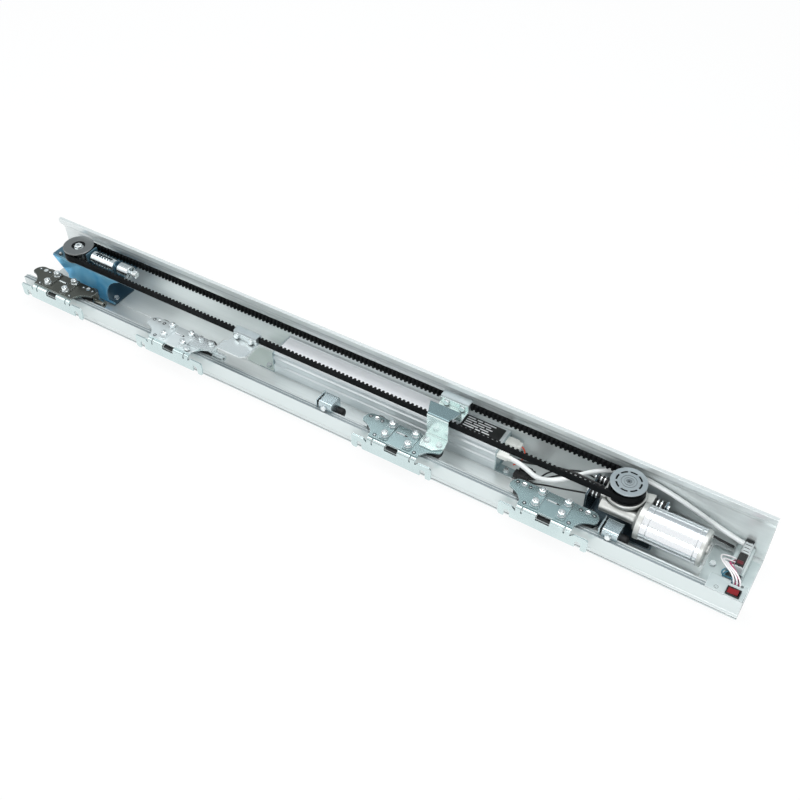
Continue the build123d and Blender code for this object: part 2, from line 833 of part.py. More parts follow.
# Circuit board in the control unit, with a transformer, a relay and a capacitor on it
with BuildPart() as circuit_board:
    board_x = sum(box_x) / 2 + 8.5
    with BuildSketch(Plane.XY.offset(14)):
        with Locations((board_x, 35)):
            Rectangle(300, 40)
    extrude(amount=1.6)
    with BuildSketch(Plane.XY.offset(15.6)):
        with Locations((board_x - 100, 35)):
            Rectangle(50, 34)
        with Locations((board_x, 40)):
            Rectangle(28, 20)
        with Locations((board_x + 90, 34)):
            Circle(11)
    extrude(amount=22)
keep(circuit_board, "circuit_board")

# Two plugs on the right end of the control unit, each with a stepped nose
with BuildPart() as control_plugs:
    for y, z, long in ((44, 42, 27), (12.5, 40, 25)):
        with BuildSketch(Plane.YZ.offset(box_x[1] + cap_t)):
            with Locations((y, z)):
                Rectangle(15 if y > 20 else 11, 8)
        extrude(amount=long - 7)
        with BuildSketch(Plane.YZ.offset(box_x[1] + cap_t + long - 7)):
            with Locations((y, z)):
                Rectangle(11 if y > 20 else 10, 7)
        extrude(amount=7)
keep(control_plugs, "control_plugs")


def cable(points, radii, r):
    """Round cable along straight runs joined by arcs."""
    with BuildPart() as run:
        with BuildLine():
            path = FilletPolyline(*points, radius=radii)
        with BuildSketch(Plane(origin=path @ 0, z_dir=path % 0)):
            Circle(r)
        sweep(path=path)
    return run


# Thick cable from the lower plug, under the belt, behind the drive unit to the mains terminal
power_cable = cable(
    [
        (box_x[1] + cap_t + 25, 12.5, 40),
        (box_x[1] + 42, 12.5, 40),
        (drive_x - 119, -20, 53),
        (drive_x - 44, 54, 72),
        (drive_x + 29, 54.5, 80),
        (terminal_x[0] - 12, 50.5, 34),
        (terminal_x[0], 50.5, 34),
    ],
    [40, 52, 48, 60, 40],
    4,
)
keep(power_cable, "power_cable")

# Thin black lead from the control unit to the gearbox side
motor_lead = cable(
    [
        (box_x[1] + cap_t, 28, 24),
        (box_x[1] + 36, 28, 24),
        (drive_x - 127, 12, 64),
        (drive_x - 79, 14, 73),
        (drive_x - 34, 17.5, 62),
    ],
    [24, 30, 30],
    2,
)
keep(motor_lead, "motor_lead")


# Mains bracket: switch plate on the rail, wall, floor and a stand for the terminal block
with BuildPart() as mains_bracket:
    half = mains_t / 2
    with BuildSketch(Plane.YZ.offset(mains_x[0])):
        with BuildLine():
            FilletPolyline(
                (-62.5, rail_top + half),
                (wall_y, rail_top + half),
                (wall_y, base_t + half),
                (50, base_t + half),
                radius=2.5,
            )
        trace(line_width=mains_t)
    extrude(amount=mains_x[1] - mains_x[0])
    with BuildSketch(Plane.XY.offset(8)):
        with Locations(((mains_x[0] + switch_plate_x) / 2, -50)):
            Rectangle(switch_plate_x - mains_x[0], 40)
    extrude(amount=60, mode=Mode.SUBTRACT)
    with BuildSketch(Plane.XZ.offset(-terminal_y[1])):
        with BuildLine():
            FilletPolyline(
                (stand_x + half, base_t + half),
                (stand_x + half, stand_top - half),
                (terminal_x[1] + 3, stand_top - half),
                (terminal_x[1] + 3, base_t + half),
                radius=2.5,
            )
        trace(line_width=mains_t)
    extrude(amount=terminal_y[1] - terminal_y[0])
    with BuildSketch(Plane.XY.offset(30)):
        with Locations(rocker_centre):
            Rectangle(bezel_size[0] - 1.6, bezel_size[1] - 1.6)
        with Locations((right_end - 17, wire_slot_y)):
            Rectangle(19, 4.6)
    extrude(amount=30, mode=Mode.SUBTRACT)
    with BuildSketch(Plane.XY):
        with Locations(*[(x, y) for x, y, top in mains_screws]):
            Circle(m5_r + run_fit)
    extrude(amount=10, mode=Mode.SUBTRACT)
keep(mains_bracket, "mains_bracket")

# Mains terminal block: five poles with clamping screws in wells
with BuildPart() as terminal_block:
    width = terminal_x[1] - terminal_x[0]
    with BuildSketch(Plane.XZ.offset(-terminal_y[1])):
        with BuildLine():
            Polyline(
                (terminal_x[0], stand_top),
                (terminal_x[1], stand_top),
                (terminal_x[1], terminal_top - 3),
                (terminal_x[1] - 2, terminal_top),
                (terminal_x[0] + 2, terminal_top),
                (terminal_x[0], terminal_top - 3),
                close=True,
            )
        make_face()
    extrude(amount=terminal_y[1] - terminal_y[0])
    pole = (terminal_y[1] - terminal_y[0]) / 6
    with BuildSketch(Plane.XY.offset(terminal_top - 5)):
        with Locations(*[(sum(terminal_x) / 2, pole * (k + 0.5)) for k in range(6)]):
            Circle(3)
    extrude(amount=6, mode=Mode.SUBTRACT)
    with BuildSketch(Plane.XY.offset(terminal_top - 3)):
        with Locations(*[(sum(terminal_x) / 2, pole * k) for k in range(1, 6)]):
            Rectangle(width, 1)
    extrude(amount=4, mode=Mode.SUBTRACT)
keep(terminal_block, "terminal_block")

# Switch body with its frame, let into the switch plate
with BuildPart() as switch_bezel:
    with BuildSketch(Plane.XY.offset(rail_top + mains_t)):
        with Locations(rocker_centre):
            RectangleRounded(bezel_size[0], bezel_size[1], 1)
    extrude(amount=2)
    with BuildSketch(Plane.XY.offset(30)):
        with Locations(rocker_centre):
            Rectangle(bezel_size[0] - 1.8, bezel_size[1] - 1.8)
    extrude(amount=rail_top + mains_t - 30)
    with BuildSketch(Plane.XY.offset(36)):
        with Locations(rocker_centre):
            Rectangle(*rocker_well)
    extrude(amount=20, mode=Mode.SUBTRACT)
keep(switch_bezel, "switch_bezel")

# Rocker: two sloping faces, hung on its pivot and tilted as it rests
tilt = radians(rocker_tilt)
tilted = Plane(
    origin=(rocker_centre[0], rocker_centre[1] + 5.1, rocker_pivot_z),
    x_dir=(cos(tilt), 0, sin(tilt)),
    z_dir=(sin(0), -1, 0),
)
with BuildPart() as switch_rocker:
    with BuildSketch(tilted):
        with BuildLine():
            Polyline((-6, -4), (-8, 3.6), (0, 2.4), (8, 3.6), (6, -4))
            ThreePointArc((6, -4), (0, -7.2), (-6, -4))
        make_face()
    extrude(amount=10.2)
keep(switch_rocker, "switch_rocker")

# Three wires from the terminal block through the slot in the switch plate
with BuildPart() as mains_wires:
    for k in range(3):
        x_loop = terminal_x[0] - 12 - 5 * k
        x_slot = terminal_x[1] + 8 - 5 * k
        y_pole = 5 + 7 * k
        with BuildLine():
            path = FilletPolyline(
                (terminal_x[0], y_pole, 31),
                (x_loop, y_pole, 31),
                (x_loop + 2, -12, 54),
                (x_slot, wire_slot_y, 60),
                (x_slot, wire_slot_y, 38),
                radius=[8, 9, 8],
            )
        with BuildSketch(Plane(origin=path @ 0, z_dir=path % 0)):
            Circle(1.2)
        sweep(path=path)
keep(mains_wires, "mains_wires")


# Stopper clamps: a cap folded over the rail with a second plate beside it
with BuildPart() as stopper_clamps:
    for x0 in stopper_x:
        front, back = stopper_y
        with BuildSketch(Plane.YZ.offset(x0)):
            with BuildLine():
                FilletPolyline(
                    (front + 1, rail_top + 0.5),
                    (front + 1, stopper_top - 1),
                    (back - 1, stopper_top - 1),
                    (back - 1, 20),
                    radius=3,
                )
            trace(line_width=stopper_t)
        extrude(amount=stopper_w)
        for x1, x2 in ((x0, x0 + stopper_t), (x0 + stopper_w - stopper_t, x0 + stopper_w)):
            with BuildSketch(Plane.YZ.offset(x1)):
                with BuildLine():
                    Polyline(
                        (front + 1, rail_top + 0.5),
                        (rail_inner_y + 0.3, rail_top + 0.5),
                        (rail_inner_y + 0.3, bead_z + bead_r + 0.5),
                        (bead_y + bead_r + 0.5, bead_z + bead_r + 0.5),
                        (bead_y + bead_r + 0.5, 20),
                        (back - 1, 20),
                        (back - 1, stopper_top - 1),
                        (front + 1, stopper_top - 1),
                        close=True,
                    )
                make_face()
            extrude(amount=x2 - x1)
        with BuildSketch(Plane.YZ.offset(x0 - 6)):
            with BuildLine():
                Polyline(
                    (front, rail_top + 0.5),
                    (rail_inner_y + 0.3, rail_top + 0.5),
                    (rail_inner_y + 0.3, bead_z + bead_r + 0.5),
                    (bead_y + bead_r + 0.5, bead_z + bead_r + 0.5),
                    (bead_y + bead_r + 0.5, 20),
                    (back, 20),
                    (back, stopper_top),
                    (front, stopper_top),
                    close=True,
                )
            make_face()
        extrude(amount=2.5)
        with BuildSketch(Plane.XY.offset(24)):
            with Locations((x0 - 2, back - 1)):
                Rectangle(8, stopper_t)
        extrude(amount=26)
        with BuildSketch(Plane.XZ.offset(-front - stopper_t)):
            with Locations((x0 + 11, 50.5)):
                Circle(m5_r + run_fit)
        extrude(amount=stopper_t, mode=Mode.SUBTRACT)
        with BuildSketch(Plane.YZ.offset(x0 + stopper_w - stopper_t)):
            with Locations((buffer_y, buffer_z)):
                Circle(m5_r)
        extrude(amount=stopper_t, mode=Mode.SUBTRACT)
keep(stopper_clamps, "stopper_clamps")

# Round rubber buffers with a fixing stem in the stopper's right wall
with BuildPart() as stopper_buffers:
    for x0 in stopper_x:
        right = x0 + stopper_w
        with BuildSketch(Plane.XY.offset(buffer_z)):
            with BuildLine():
                Polyline(
                    (right - 4, buffer_y),
                    (right - 4, buffer_y + m5_r - run_fit),
                    (right, buffer_y + m5_r - run_fit),
                    (right, buffer_y + buffer_r),
                    (right + buffer_length - 4, buffer_y + buffer_r),
                )
                ThreePointArc(
                    (right + buffer_length - 4, buffer_y + buffer_r),
                    (right + buffer_length - 1.4, buffer_y + buffer_r - 2.2),
                    (right + buffer_length, buffer_y + 3),
                )
                Polyline(
                    (right + buffer_length, buffer_y + 3),
                    (right + buffer_length, buffer_y),
                    (right - 4, buffer_y),
                )
            make_face()
        revolve(axis=Axis((0, buffer_y, buffer_z), (1, 0, 0)))
keep(stopper_buffers, "stopper_buffers")


def hex_screw(seat, shank, head):
    """Hexagon screw with a flange under its head, which stands on the plane seat."""
    with BuildPart() as screw:
        with BuildSketch(seat):
            Circle(m5_r)
        extrude(amount=-shank)
        with BuildSketch(seat):
            Circle(screw_flange_r)
        extrude(amount=screw_flange_t)
        with BuildSketch(seat.offset(screw_flange_t)):
            RegularPolygon(screw_hex_r, 6)
        extrude(amount=head)
    return screw.part


# Hexagon screws of the brackets' feet and of the stoppers
with BuildPart() as track_screws:
    for x, y, top in base_screws:
        add(hex_screw(Plane((x, y, top)), top - 0.4, 3.4))
    for x0 in stopper_x:
        seat = Plane(origin=(x0 + 11, stopper_y[0], 50.5), z_dir=(0, -1, 0))
        add(hex_screw(seat, 8, 3.4))
keep(track_screws, "track_screws")


def lobe_outline(cx):
    """Bone-shaped outline of a carriage plate."""
    corner_x = lobe_half - lobe_r
    corner_y = plate_back_y - lobe_r
    tip_x = lobe_half - 4.5
    tip_y = corner_y - 7.5
    for side in (-1, 1):
        Line((cx, plate_back_y), (cx + side * corner_x, plate_back_y))
        ThreePointArc(
            (cx + side * corner_x, plate_back_y),
            (cx + side * (corner_x + lobe_r * cos(pi / 4)), corner_y + lobe_r * sin(pi / 4)),
            (cx + side * lobe_half, corner_y),
        )
        ThreePointArc(
            (cx + side * lobe_half, corner_y),
            (cx + side * (lobe_half - 1), corner_y - 4.5),
            (cx + side * tip_x, tip_y),
        )
        ThreePointArc(
            (cx + side * tip_x, tip_y),
            (cx + side * ((tip_x + neck_half) / 2 - 3.25), tip_y - 7),
            (cx + side * neck_half, neck_y + 6),
        )
        Polyline(
            (cx + side * neck_half, neck_y + 6),
            (cx + side * neck_half, neck_y),
            (cx, neck_y),
        )


def carriage(number, cx):
    """Plate, door hanger, two grooved wheels and the fasteners of one carriage."""
    with BuildPart() as plate:
        with BuildSketch(Plane.XY.offset(plate_low)):
            with BuildLine():
                lobe_outline(cx)
            make_face()
        extrude(amount=plate_t)
        with BuildSketch(Plane.XY.offset(plate_top)):
            with Locations((cx - 22, -48.5), (cx + 22, -48.5)):
                RectangleRounded(15, 43, 3)
        extrude(amount=pad_t)
        if number <= 2:
            with BuildSketch(Plane.YZ.offset(cx + lobe_half - 3)):
                with BuildLine():
                    Polyline((-44, plate_top), (-44, 34), (-32, 34), (-32, plate_top), close=True)
                make_face()
            extrude(amount=3)
            with BuildSketch(Plane.YZ.offset(cx + lobe_half - 3)):
                with Locations((-38, 34)):
                    Circle(bumper_r)
            extrude(amount=21)
            with BuildSketch(Plane.YZ.offset(cx + lobe_half - 3)):
                with Locations((-38, 34)):
                    Circle(2.5)
            extrude(amount=21, mode=Mode.SUBTRACT)
        with BuildSketch(Plane.XY.offset(plate_low)):
            with Locations((cx, -43.5)):
                Rectangle(21, 3)
            with Locations(*[(cx + x, y) for x, y in clamp_bolt_at]):
                Circle(m6_r + run_fit)
            with Locations(*[(cx + s * x, y) for x, y in foot_holes for s in (-1, 1)]):
                Circle(m5_r + run_fit)
            with Locations((cx - wheel_x, wheel_y), (cx + wheel_x, wheel_y)):
                Circle(axle_r + run_fit)
        extrude(amount=plate_t + pad_t, mode=Mode.SUBTRACT)
    keep(plate, f"carriage_{number}_plate")

    with BuildPart() as hanger:
        half = hanger_t / 2
        with BuildSketch(Plane.YZ.offset(cx - fold_half)):
            with BuildLine():
                FilletPolyline(
                    (-30, plate_low - half),
                    (hanger_front_y + half, plate_low - half),
                    (hanger_front_y + half, hanger_low),
                    radius=4.5,
                )
            trace(line_width=hanger_t)
        extrude(amount=2 * fold_half)
        with BuildSketch(Plane.XY.offset(40)):
            with Locations((cx - 40, -51), (cx + 40, -51)):
                Rectangle(16, 43)
            with Locations((cx, -77)):
                Rectangle(24, 8)
            with Locations((cx - 36, -78), (cx + 36, -78)):
                Rectangle(3, 8)
            with Locations(*[(cx + x, y) for x, y in clamp_bolt_at]):
                SlotOverall(8, 2 * m6_r + 0.6, rotation=90)
        extrude(amount=plate_low - 40, mode=Mode.SUBTRACT)
        with BuildSketch(Plane.XZ.offset(-hanger_front_y - hanger_t)):
            with BuildLine():
                for s in (-1, 1):
                    Polyline(
                        (cx, 40),
                        (cx + s * fold_half, 40),
                        (cx + s * (fold_half + 6), 46),
                        (cx + s * (hanger_half - 3), 46),
                        (cx + s * hanger_half, 43),
                        (cx + s * hanger_half, hanger_low + 1),
                        (cx + s * (hanger_half - 3), hanger_low - 2),
                        (cx + s * (notch_x + notch_w / 2 + 1), hanger_low - 2),
                        (cx + s * (notch_x + notch_w / 2), hanger_low - 1),
                        (cx + s * (notch_x + notch_w / 2), notch_top - notch_w / 2),
                    )
                    ThreePointArc(
                        (cx + s * (notch_x + notch_w / 2), notch_top - notch_w / 2),
                        (cx + s * notch_x, notch_top),
                        (cx + s * (notch_x - notch_w / 2), notch_top - notch_w / 2),
                    )
                    Polyline(
                        (cx + s * (notch_x - notch_w / 2), notch_top - notch_w / 2),
                        (cx + s * (notch_x - notch_w / 2), hanger_low),
                        (cx, hanger_low),
                    )
            make_face()
        extrude(amount=hanger_t)
    keep(hanger, f"carriage_{number}_hanger")

    for side, word in ((-1, "left"), (1, "right")):
        x = cx + side * wheel_x
        groove_r = bead_r + skin_gap
        reach = wheel_y - bead_y
        floor_half = groove_r * (sqrt(2) - 1)
        with BuildPart() as wheel:
            with BuildSketch(Plane.XZ.offset(-wheel_y)):
                with BuildLine():
                    Polyline(
                        (x + wheel_r, bead_z - groove_r),
                        (x + wheel_r, bead_z - wheel_half_w),
                        (x + axle_r + run_fit, bead_z - wheel_half_w),
                        (x + axle_r + run_fit, bead_z + wheel_half_w),
                        (x + wheel_r, bead_z + wheel_half_w),
                        (x + wheel_r, bead_z + groove_r),
                        (x + reach - floor_half, bead_z + groove_r),
                        (x + reach - groove_r, bead_z + floor_half),
                        (x + reach - groove_r, bead_z - floor_half),
                        (x + reach - floor_half, bead_z - groove_r),
                        close=True,
                    )
                make_face()
            revolve(axis=Axis((x, wheel_y, 0), (0, 0, 1)))
        keep(wheel, f"carriage_{number}_wheel_{word}")

    with BuildPart() as fasteners:
        for dx, y in clamp_bolt_at:
            with BuildSketch(Plane.XY.offset(45.2)):
                with Locations((cx + dx, y)):
                    Circle(5.5)
            extrude(amount=plate_low - hanger_t - 45.2)
            with BuildSketch(Plane.XY.offset(plate_low - hanger_t)):
                with Locations((cx + dx, y)):
                    Circle(m6_r)
            extrude(amount=18)
            with BuildSketch(Plane.XY.offset(plate_top + pad_t)):
                with Locations((cx + dx, y)):
                    Circle(6.2)
            extrude(amount=1.2)
            with BuildSketch(Plane.XY.offset(plate_top + pad_t + 1.2)):
                with Locations((cx + dx, y)):
                    RegularPolygon(5.6, 6)
            extrude(amount=5)
        for side in (-1, 1):
            x = cx + side * wheel_x
            top = bead_z + wheel_half_w + 0.4
            low = bead_z - wheel_half_w - 0.4
            with BuildSketch(Plane.XZ.offset(-wheel_y)):
                with BuildLine():
                    Polyline(
                        (x, low - 2),
                        (x + 6.5, low - 2),
                        (x + 6.5, low),
                        (x + axle_r, low),
                        (x + axle_r, top),
                        (x + 6, top),
                        (x + 6, plate_low),
                        (x + axle_r, plate_low),
                        (x + axle_r, plate_top),
                        (x, plate_top),
                        close=True,
                    )
                make_face()
            revolve(axis=Axis((x, wheel_y, 0), (0, 0, 1)))
    keep(fasteners, f"carriage_{number}_fasteners")


for number, cx in carriage_x.items():
    carriage(number, cx)


def belt_jaw(x1, x2, outer_y, side):
    """Clip over one strand: a thick bolted leg and a thin leg behind the belt."""
    with BuildPart() as jaw:
        with BuildSketch(Plane.YZ.offset(x1)):
            with BuildLine():
                near = outer_y
                slot_1 = near + jaw_leg
                slot_2 = slot_1 + (back_r - tip_r) + 2 * skin_gap
                far = slot_2 + jaw_thin
                Polyline(
                    (near, jaw_low),
                    (slot_1, jaw_low),
                    (slot_1, belt_top + skin_gap),
                    (slot_2, belt_top + skin_gap),
                    (slot_2, jaw_low),
                    (far, jaw_low),
                    (far, jaw_top - 1),
                    (far - 1, jaw_top),
                    (near + 1, jaw_top),
                    (near, jaw_top - 1),
                    close=True,
                )
            make_face()
        extrude(amount=x2 - x1)
        with BuildSketch(Plane.XZ.offset(-near - jaw_leg)):
            with Locations(*[(x, jaw_bolt_z) for x in side]):
                Circle(m5_r + run_fit)
        extrude(amount=jaw_leg, mode=Mode.SUBTRACT)
    return jaw


front_jaw_y = axis_y - back_r - skin_gap - jaw_leg
rear_jaw_y = axis_y + tip_r - skin_gap - jaw_leg

clamp_a_jaw = belt_jaw(clamp_a_x[0], clamp_a_x[1], front_jaw_y, bolts_a)
keep(clamp_a_jaw, "clamp_a_jaw")
clamp_b_jaw = belt_jaw(clamp_b_x[0], clamp_b_x[1], rear_jaw_y, bolts_b)
keep(clamp_b_jaw, "clamp_b_jaw")

# Bracket of belt clamp A: foot on the second carriage, riser, shelf and a flange to the jaw
cx = carriage_x[2]
with BuildPart() as clamp_a_bracket:
    half = sheet_t / 2
    with BuildSketch(Plane.XZ.offset(front_jaw_y * -1)):
        with BuildLine():
            FilletPolyline(
                (cx + 29, plate_top + half),
                (cx + 80, plate_top + half),
                (clamp_a_x[0] - 9, upper_z - half),
                (clamp_a_x[1], upper_z - half),
                radius=4,
            )
        trace(line_width=sheet_t)
    extrude(amount=57 + front_jaw_y)
    with BuildSketch(Plane.XY.offset(plate_low)):
        with BuildLine():
            Polyline(
                (cx + 30, -30),
                (cx + 66, -29),
                (cx + 74, -36),
                (cx + 88, -38),
                (clamp_a_x[0] - 2, -34),
                (clamp_a_x[0], front_jaw_y),
                (clamp_a_x[1], front_jaw_y),
                (clamp_a_x[1], -50),
                (clamp_a_x[1] - 7, -57),
                (clamp_a_x[0] - 6, -57),
                (cx + 72, -52),
                (cx + 46, -60),
                (cx + 43, -72),
                (cx + 31, -72),
                close=True,
            )
        make_face()
    extrude(amount=50, mode=Mode.INTERSECT)
    with BuildSketch(Plane.XZ.offset(-front_jaw_y)):
        with BuildLine():
            Polyline(
                (clamp_a_x[0], upper_z - sheet_t),
                (clamp_a_x[1], upper_z - sheet_t),
                (clamp_a_x[1], jaw_flange_top - 2),
                (clamp_a_x[1] - 2, jaw_flange_top),
                (clamp_a_x[0] + 2, jaw_flange_top),
                (clamp_a_x[0], jaw_flange_top - 2),
                close=True,
            )
        make_face()
    extrude(amount=sheet_t)
    with BuildSketch(Plane.XZ.offset(-front_jaw_y)):
        with Locations(*[(x, jaw_bolt_z) for x in bolts_a]):
            Circle(m5_r + run_fit)
    extrude(amount=sheet_t, mode=Mode.SUBTRACT)
    with BuildSketch(Plane.XY.offset(plate_low)):
        with Locations(*[(cx + x, y) for x, y in foot_holes]):
            Circle(m5_r + run_fit)
        with Locations((cx + 22, -36), (cx + 22, -61)):
            Circle(9)
    extrude(amount=10, mode=Mode.SUBTRACT)
keep(clamp_a_bracket, "clamp_a_bracket")

# Bracket of belt clamp B: foot on the third carriage, wall, bridge over the front strand
cx = carriage_x[3]
with BuildPart() as clamp_b_bracket:
    half = sheet_t / 2
    with BuildSketch(Plane.YZ.offset(clamp_b_x[0] - 5)):
        with BuildLine():
            FilletPolyline(
                (-50, plate_top + half),
                (-19, plate_top + half),
                (-19, bridge_z - half),
                (9, bridge_z - half),
                (9, upper_z - half),
                (rear_jaw_y - half, upper_z - half),
                (rear_jaw_y - half, jaw_flange_top),
                radius=2.5,
            )
        trace(line_width=sheet_t)
    extrude(amount=clamp_b_x[1] - clamp_b_x[0] + 5)
    with BuildSketch(Plane.XY.offset(plate_top)):
        with BuildLine():
            Polyline(
                (clamp_b_x[0], 40),
                (clamp_b_x[0], 20),
                (cx + 23, 8),
                (cx + 33, -17),
                (cx + 33, -38),
                (cx + 37, -50),
                (cx + 61, -50),
                (cx + 76, -38),
                (cx + 72, -17),
                (clamp_b_x[1], 8),
                (clamp_b_x[1], 40),
                close=True,
            )
        make_face()
    extrude(amount=60, mode=Mode.INTERSECT)
    with BuildSketch(Plane.XZ.offset(-rear_jaw_y)):
        with Locations(*[(x, jaw_bolt_z) for x in bolts_b]):
            Circle(m5_r + run_fit)
    extrude(amount=sheet_t, mode=Mode.SUBTRACT)
    with BuildSketch(Plane.XY.offset(plate_top)):
        with Locations(*[(cx + x, y) for x, y in foot_holes[:2]]):
            Circle(m5_r + run_fit)
    extrude(amount=sheet_t, mode=Mode.SUBTRACT)
keep(clamp_b_bracket, "clamp_b_bracket")


def clamp_bolts(cx, holes, jaw_y, jaw_x):
    """Foot screws of a belt clamp and the two bolts of its jaw."""
    with BuildPart() as bolts:
        for x, y in holes:
            add(hex_screw(Plane((cx + x, y, plate_top + sheet_t)), 8, 3.4))
        for x in jaw_x:
            seat = Plane(origin=(x, jaw_y - sheet_t, jaw_bolt_z), z_dir=(0, -1, 0))
            add(hex_screw(seat, 7.5, 3.4))
    return bolts


clamp_a_bolts = clamp_bolts(carriage_x[2], foot_holes, front_jaw_y, bolts_a)
keep(clamp_a_bolts, "clamp_a_bolts")
clamp_b_bolts = clamp_bolts(carriage_x[3], foot_holes[:2], rear_jaw_y, bolts_b)
keep(clamp_b_bolts, "clamp_b_bolts")
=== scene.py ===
import math

import bmesh
import bpy
from mathutils import Matrix, Vector


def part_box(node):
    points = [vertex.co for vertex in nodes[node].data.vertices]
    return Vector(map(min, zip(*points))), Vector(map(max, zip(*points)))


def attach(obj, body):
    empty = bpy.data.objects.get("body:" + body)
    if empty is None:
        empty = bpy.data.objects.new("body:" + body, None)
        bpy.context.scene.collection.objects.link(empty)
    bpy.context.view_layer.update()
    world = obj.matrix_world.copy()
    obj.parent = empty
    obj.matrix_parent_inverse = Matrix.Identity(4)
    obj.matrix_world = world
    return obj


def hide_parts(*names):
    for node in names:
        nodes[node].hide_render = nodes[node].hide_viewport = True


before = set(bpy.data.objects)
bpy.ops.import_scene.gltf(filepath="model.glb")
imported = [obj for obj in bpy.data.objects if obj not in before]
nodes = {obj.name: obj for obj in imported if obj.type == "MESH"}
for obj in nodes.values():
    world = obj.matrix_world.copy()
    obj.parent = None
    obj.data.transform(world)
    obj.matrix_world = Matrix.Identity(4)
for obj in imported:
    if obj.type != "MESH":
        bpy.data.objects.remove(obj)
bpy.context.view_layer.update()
scene = bpy.context.scene
scene.view_settings.view_transform = "Standard"


# Camera: above and in front of the rail, right of the middle, as the operator was photographed.
camera_place = Vector((0.763, -1.0726, 1.348))
camera_forward = Vector((-0.3722, 0.5992, -0.7088)).normalized()
camera_right = Vector((0.8508, 0.5254, -0.0026)).normalized()
focal_share = 1085.1 / 800

camera = bpy.data.objects.new("camera", bpy.data.cameras.new("camera"))
camera.data.sensor_width = 36
camera.data.lens = focal_share * camera.data.sensor_width
camera.data.clip_end = 30
camera_up = camera_right.cross(camera_forward)
camera.matrix_world = Matrix.Translation(camera_place) @ Matrix(
    (camera_right, camera_up, -camera_forward)
).transposed().to_4x4()
scene.collection.objects.link(camera)
scene.camera = camera


# Studio: a matt white sweep under the operator and three large softboxes round it.
# The sweep and the sky are plain white to the eye, and the sweep keeps a soft shadow. Mirrored,
# the sky is white too, apart from a grey wall behind and a grey gap between the softboxes.
def linear(colour):
    """An sRGB colour such as #C8CCD0 as linear red, green, blue and alpha."""
    parts = [int(colour[k : k + 2], 16) / 255 for k in (1, 3, 5)]
    return [p / 12.92 if p <= 0.04045 else ((p + 0.055) / 1.055) ** 2.4 for p in parts] + [1]


def add_node(tree, kind, inputs, **settings):
    """A node with its settings, each input given a value or linked to an output."""
    added = tree.nodes.new(kind)
    for name, value in settings.items():
        setattr(added, name, value)
    for socket, value in inputs.items():
        if isinstance(value, bpy.types.NodeSocket):
            tree.links.new(value, added.inputs[socket])
        else:
            added.inputs[socket].default_value = value
    return added


sweep_size = 14
sweep_drop = 0.0006
paper_glow = 0.9
sweep_mesh = bmesh.new()
bmesh.ops.create_grid(sweep_mesh, x_segments=8, y_segments=8, size=sweep_size / 2)
sweep = bpy.data.objects.new("sweep", bpy.data.meshes.new("sweep"))
sweep_mesh.to_mesh(sweep.data)
sweep_mesh.free()
sweep.location = (0, 0, -sweep_drop)
scene.collection.objects.link(sweep)

paper = bpy.data.materials.new("matt white paper sweep")
paper.use_nodes = True
tree = paper.node_tree
tree.nodes.clear()
rays = add_node(tree, "ShaderNodeLightPath", {})
seen = add_node(
    tree, "ShaderNodeMath", {0: rays.outputs["Is Camera Ray"], 1: rays.outputs["Is Glossy Ray"]},
    operation="MAXIMUM",
)
seen = add_node(
    tree, "ShaderNodeMath", {0: seen.outputs[0], 1: rays.outputs["Is Transmission Ray"]},
    operation="MAXIMUM",
)
share = add_node(tree, "ShaderNodeMath", {0: seen.outputs[0], 1: paper_glow}, operation="MULTIPLY")
matt = add_node(tree, "ShaderNodeBsdfDiffuse", {"Color": linear("#F2F3F4")})
glow = add_node(tree, "ShaderNodeEmission", {"Color": linear("#FFFFFF"), "Strength": 1.0})
mixed = add_node(
    tree, "ShaderNodeMixShader", {0: share.outputs[0], 1: matt.outputs[0], 2: glow.outputs[0]}
)
add_node(tree, "ShaderNodeOutputMaterial", {"Surface": mixed.outputs[0]})
sweep.data.materials.append(paper)

wall_direction = (-0.35, 0.62, 0.7)
gap_height = 0.46
world = bpy.data.worlds.new("studio")
scene.world = world
world.use_nodes = True
tree = world.node_tree
tree.nodes.clear()
rays = add_node(tree, "ShaderNodeLightPath", {})
seen = add_node(
    tree, "ShaderNodeMath",
    {0: rays.outputs["Is Camera Ray"], 1: rays.outputs["Is Transmission Ray"]}, operation="MAXIMUM",
)
seen = add_node(
    tree, "ShaderNodeMath", {0: seen.outputs[0], 1: rays.outputs["Is Glossy Ray"]},
    operation="MAXIMUM",
)
looked_at = add_node(tree, "ShaderNodeTexCoord", {}).outputs["Generated"]
to_back = add_node(
    tree, "ShaderNodeVectorMath", {0: looked_at, 1: wall_direction}, operation="DOT_PRODUCT"
)
shade = add_node(
    tree, "ShaderNodeMapRange", {0: to_back.outputs["Value"], 1: 0.55, 2: 1.0, 3: 0.0, 4: 1.0}
)
mirrored = add_node(
    tree, "ShaderNodeMix",
    {0: shade.outputs[0], 6: linear("#FFFFFF"), 7: linear("#AEB6BA")}, data_type="RGBA",
)
parts = add_node(tree, "ShaderNodeSeparateXYZ", {0: looked_at})
from_gap = add_node(
    tree, "ShaderNodeMath", {0: parts.outputs["Z"], 1: gap_height}, operation="SUBTRACT"
)
from_gap = add_node(tree, "ShaderNodeMath", {0: from_gap.outputs[0]}, operation="ABSOLUTE")
gap = add_node(
    tree, "ShaderNodeMapRange", {0: from_gap.outputs[0], 1: 0.06, 2: 0.13, 3: 1.0, 4: 0.0}
)
ahead = add_node(
    tree, "ShaderNodeMapRange", {0: parts.outputs["Y"], 1: -0.5, 2: -0.1, 3: 1.0, 4: 0.0}
)
gap = add_node(
    tree, "ShaderNodeMath", {0: gap.outputs[0], 1: ahead.outputs[0]}, operation="MULTIPLY"
)
mirrored = add_node(
    tree, "ShaderNodeMix",
    {0: gap.outputs[0], 6: mirrored.outputs[2], 7: linear("#596266")}, data_type="RGBA",
)
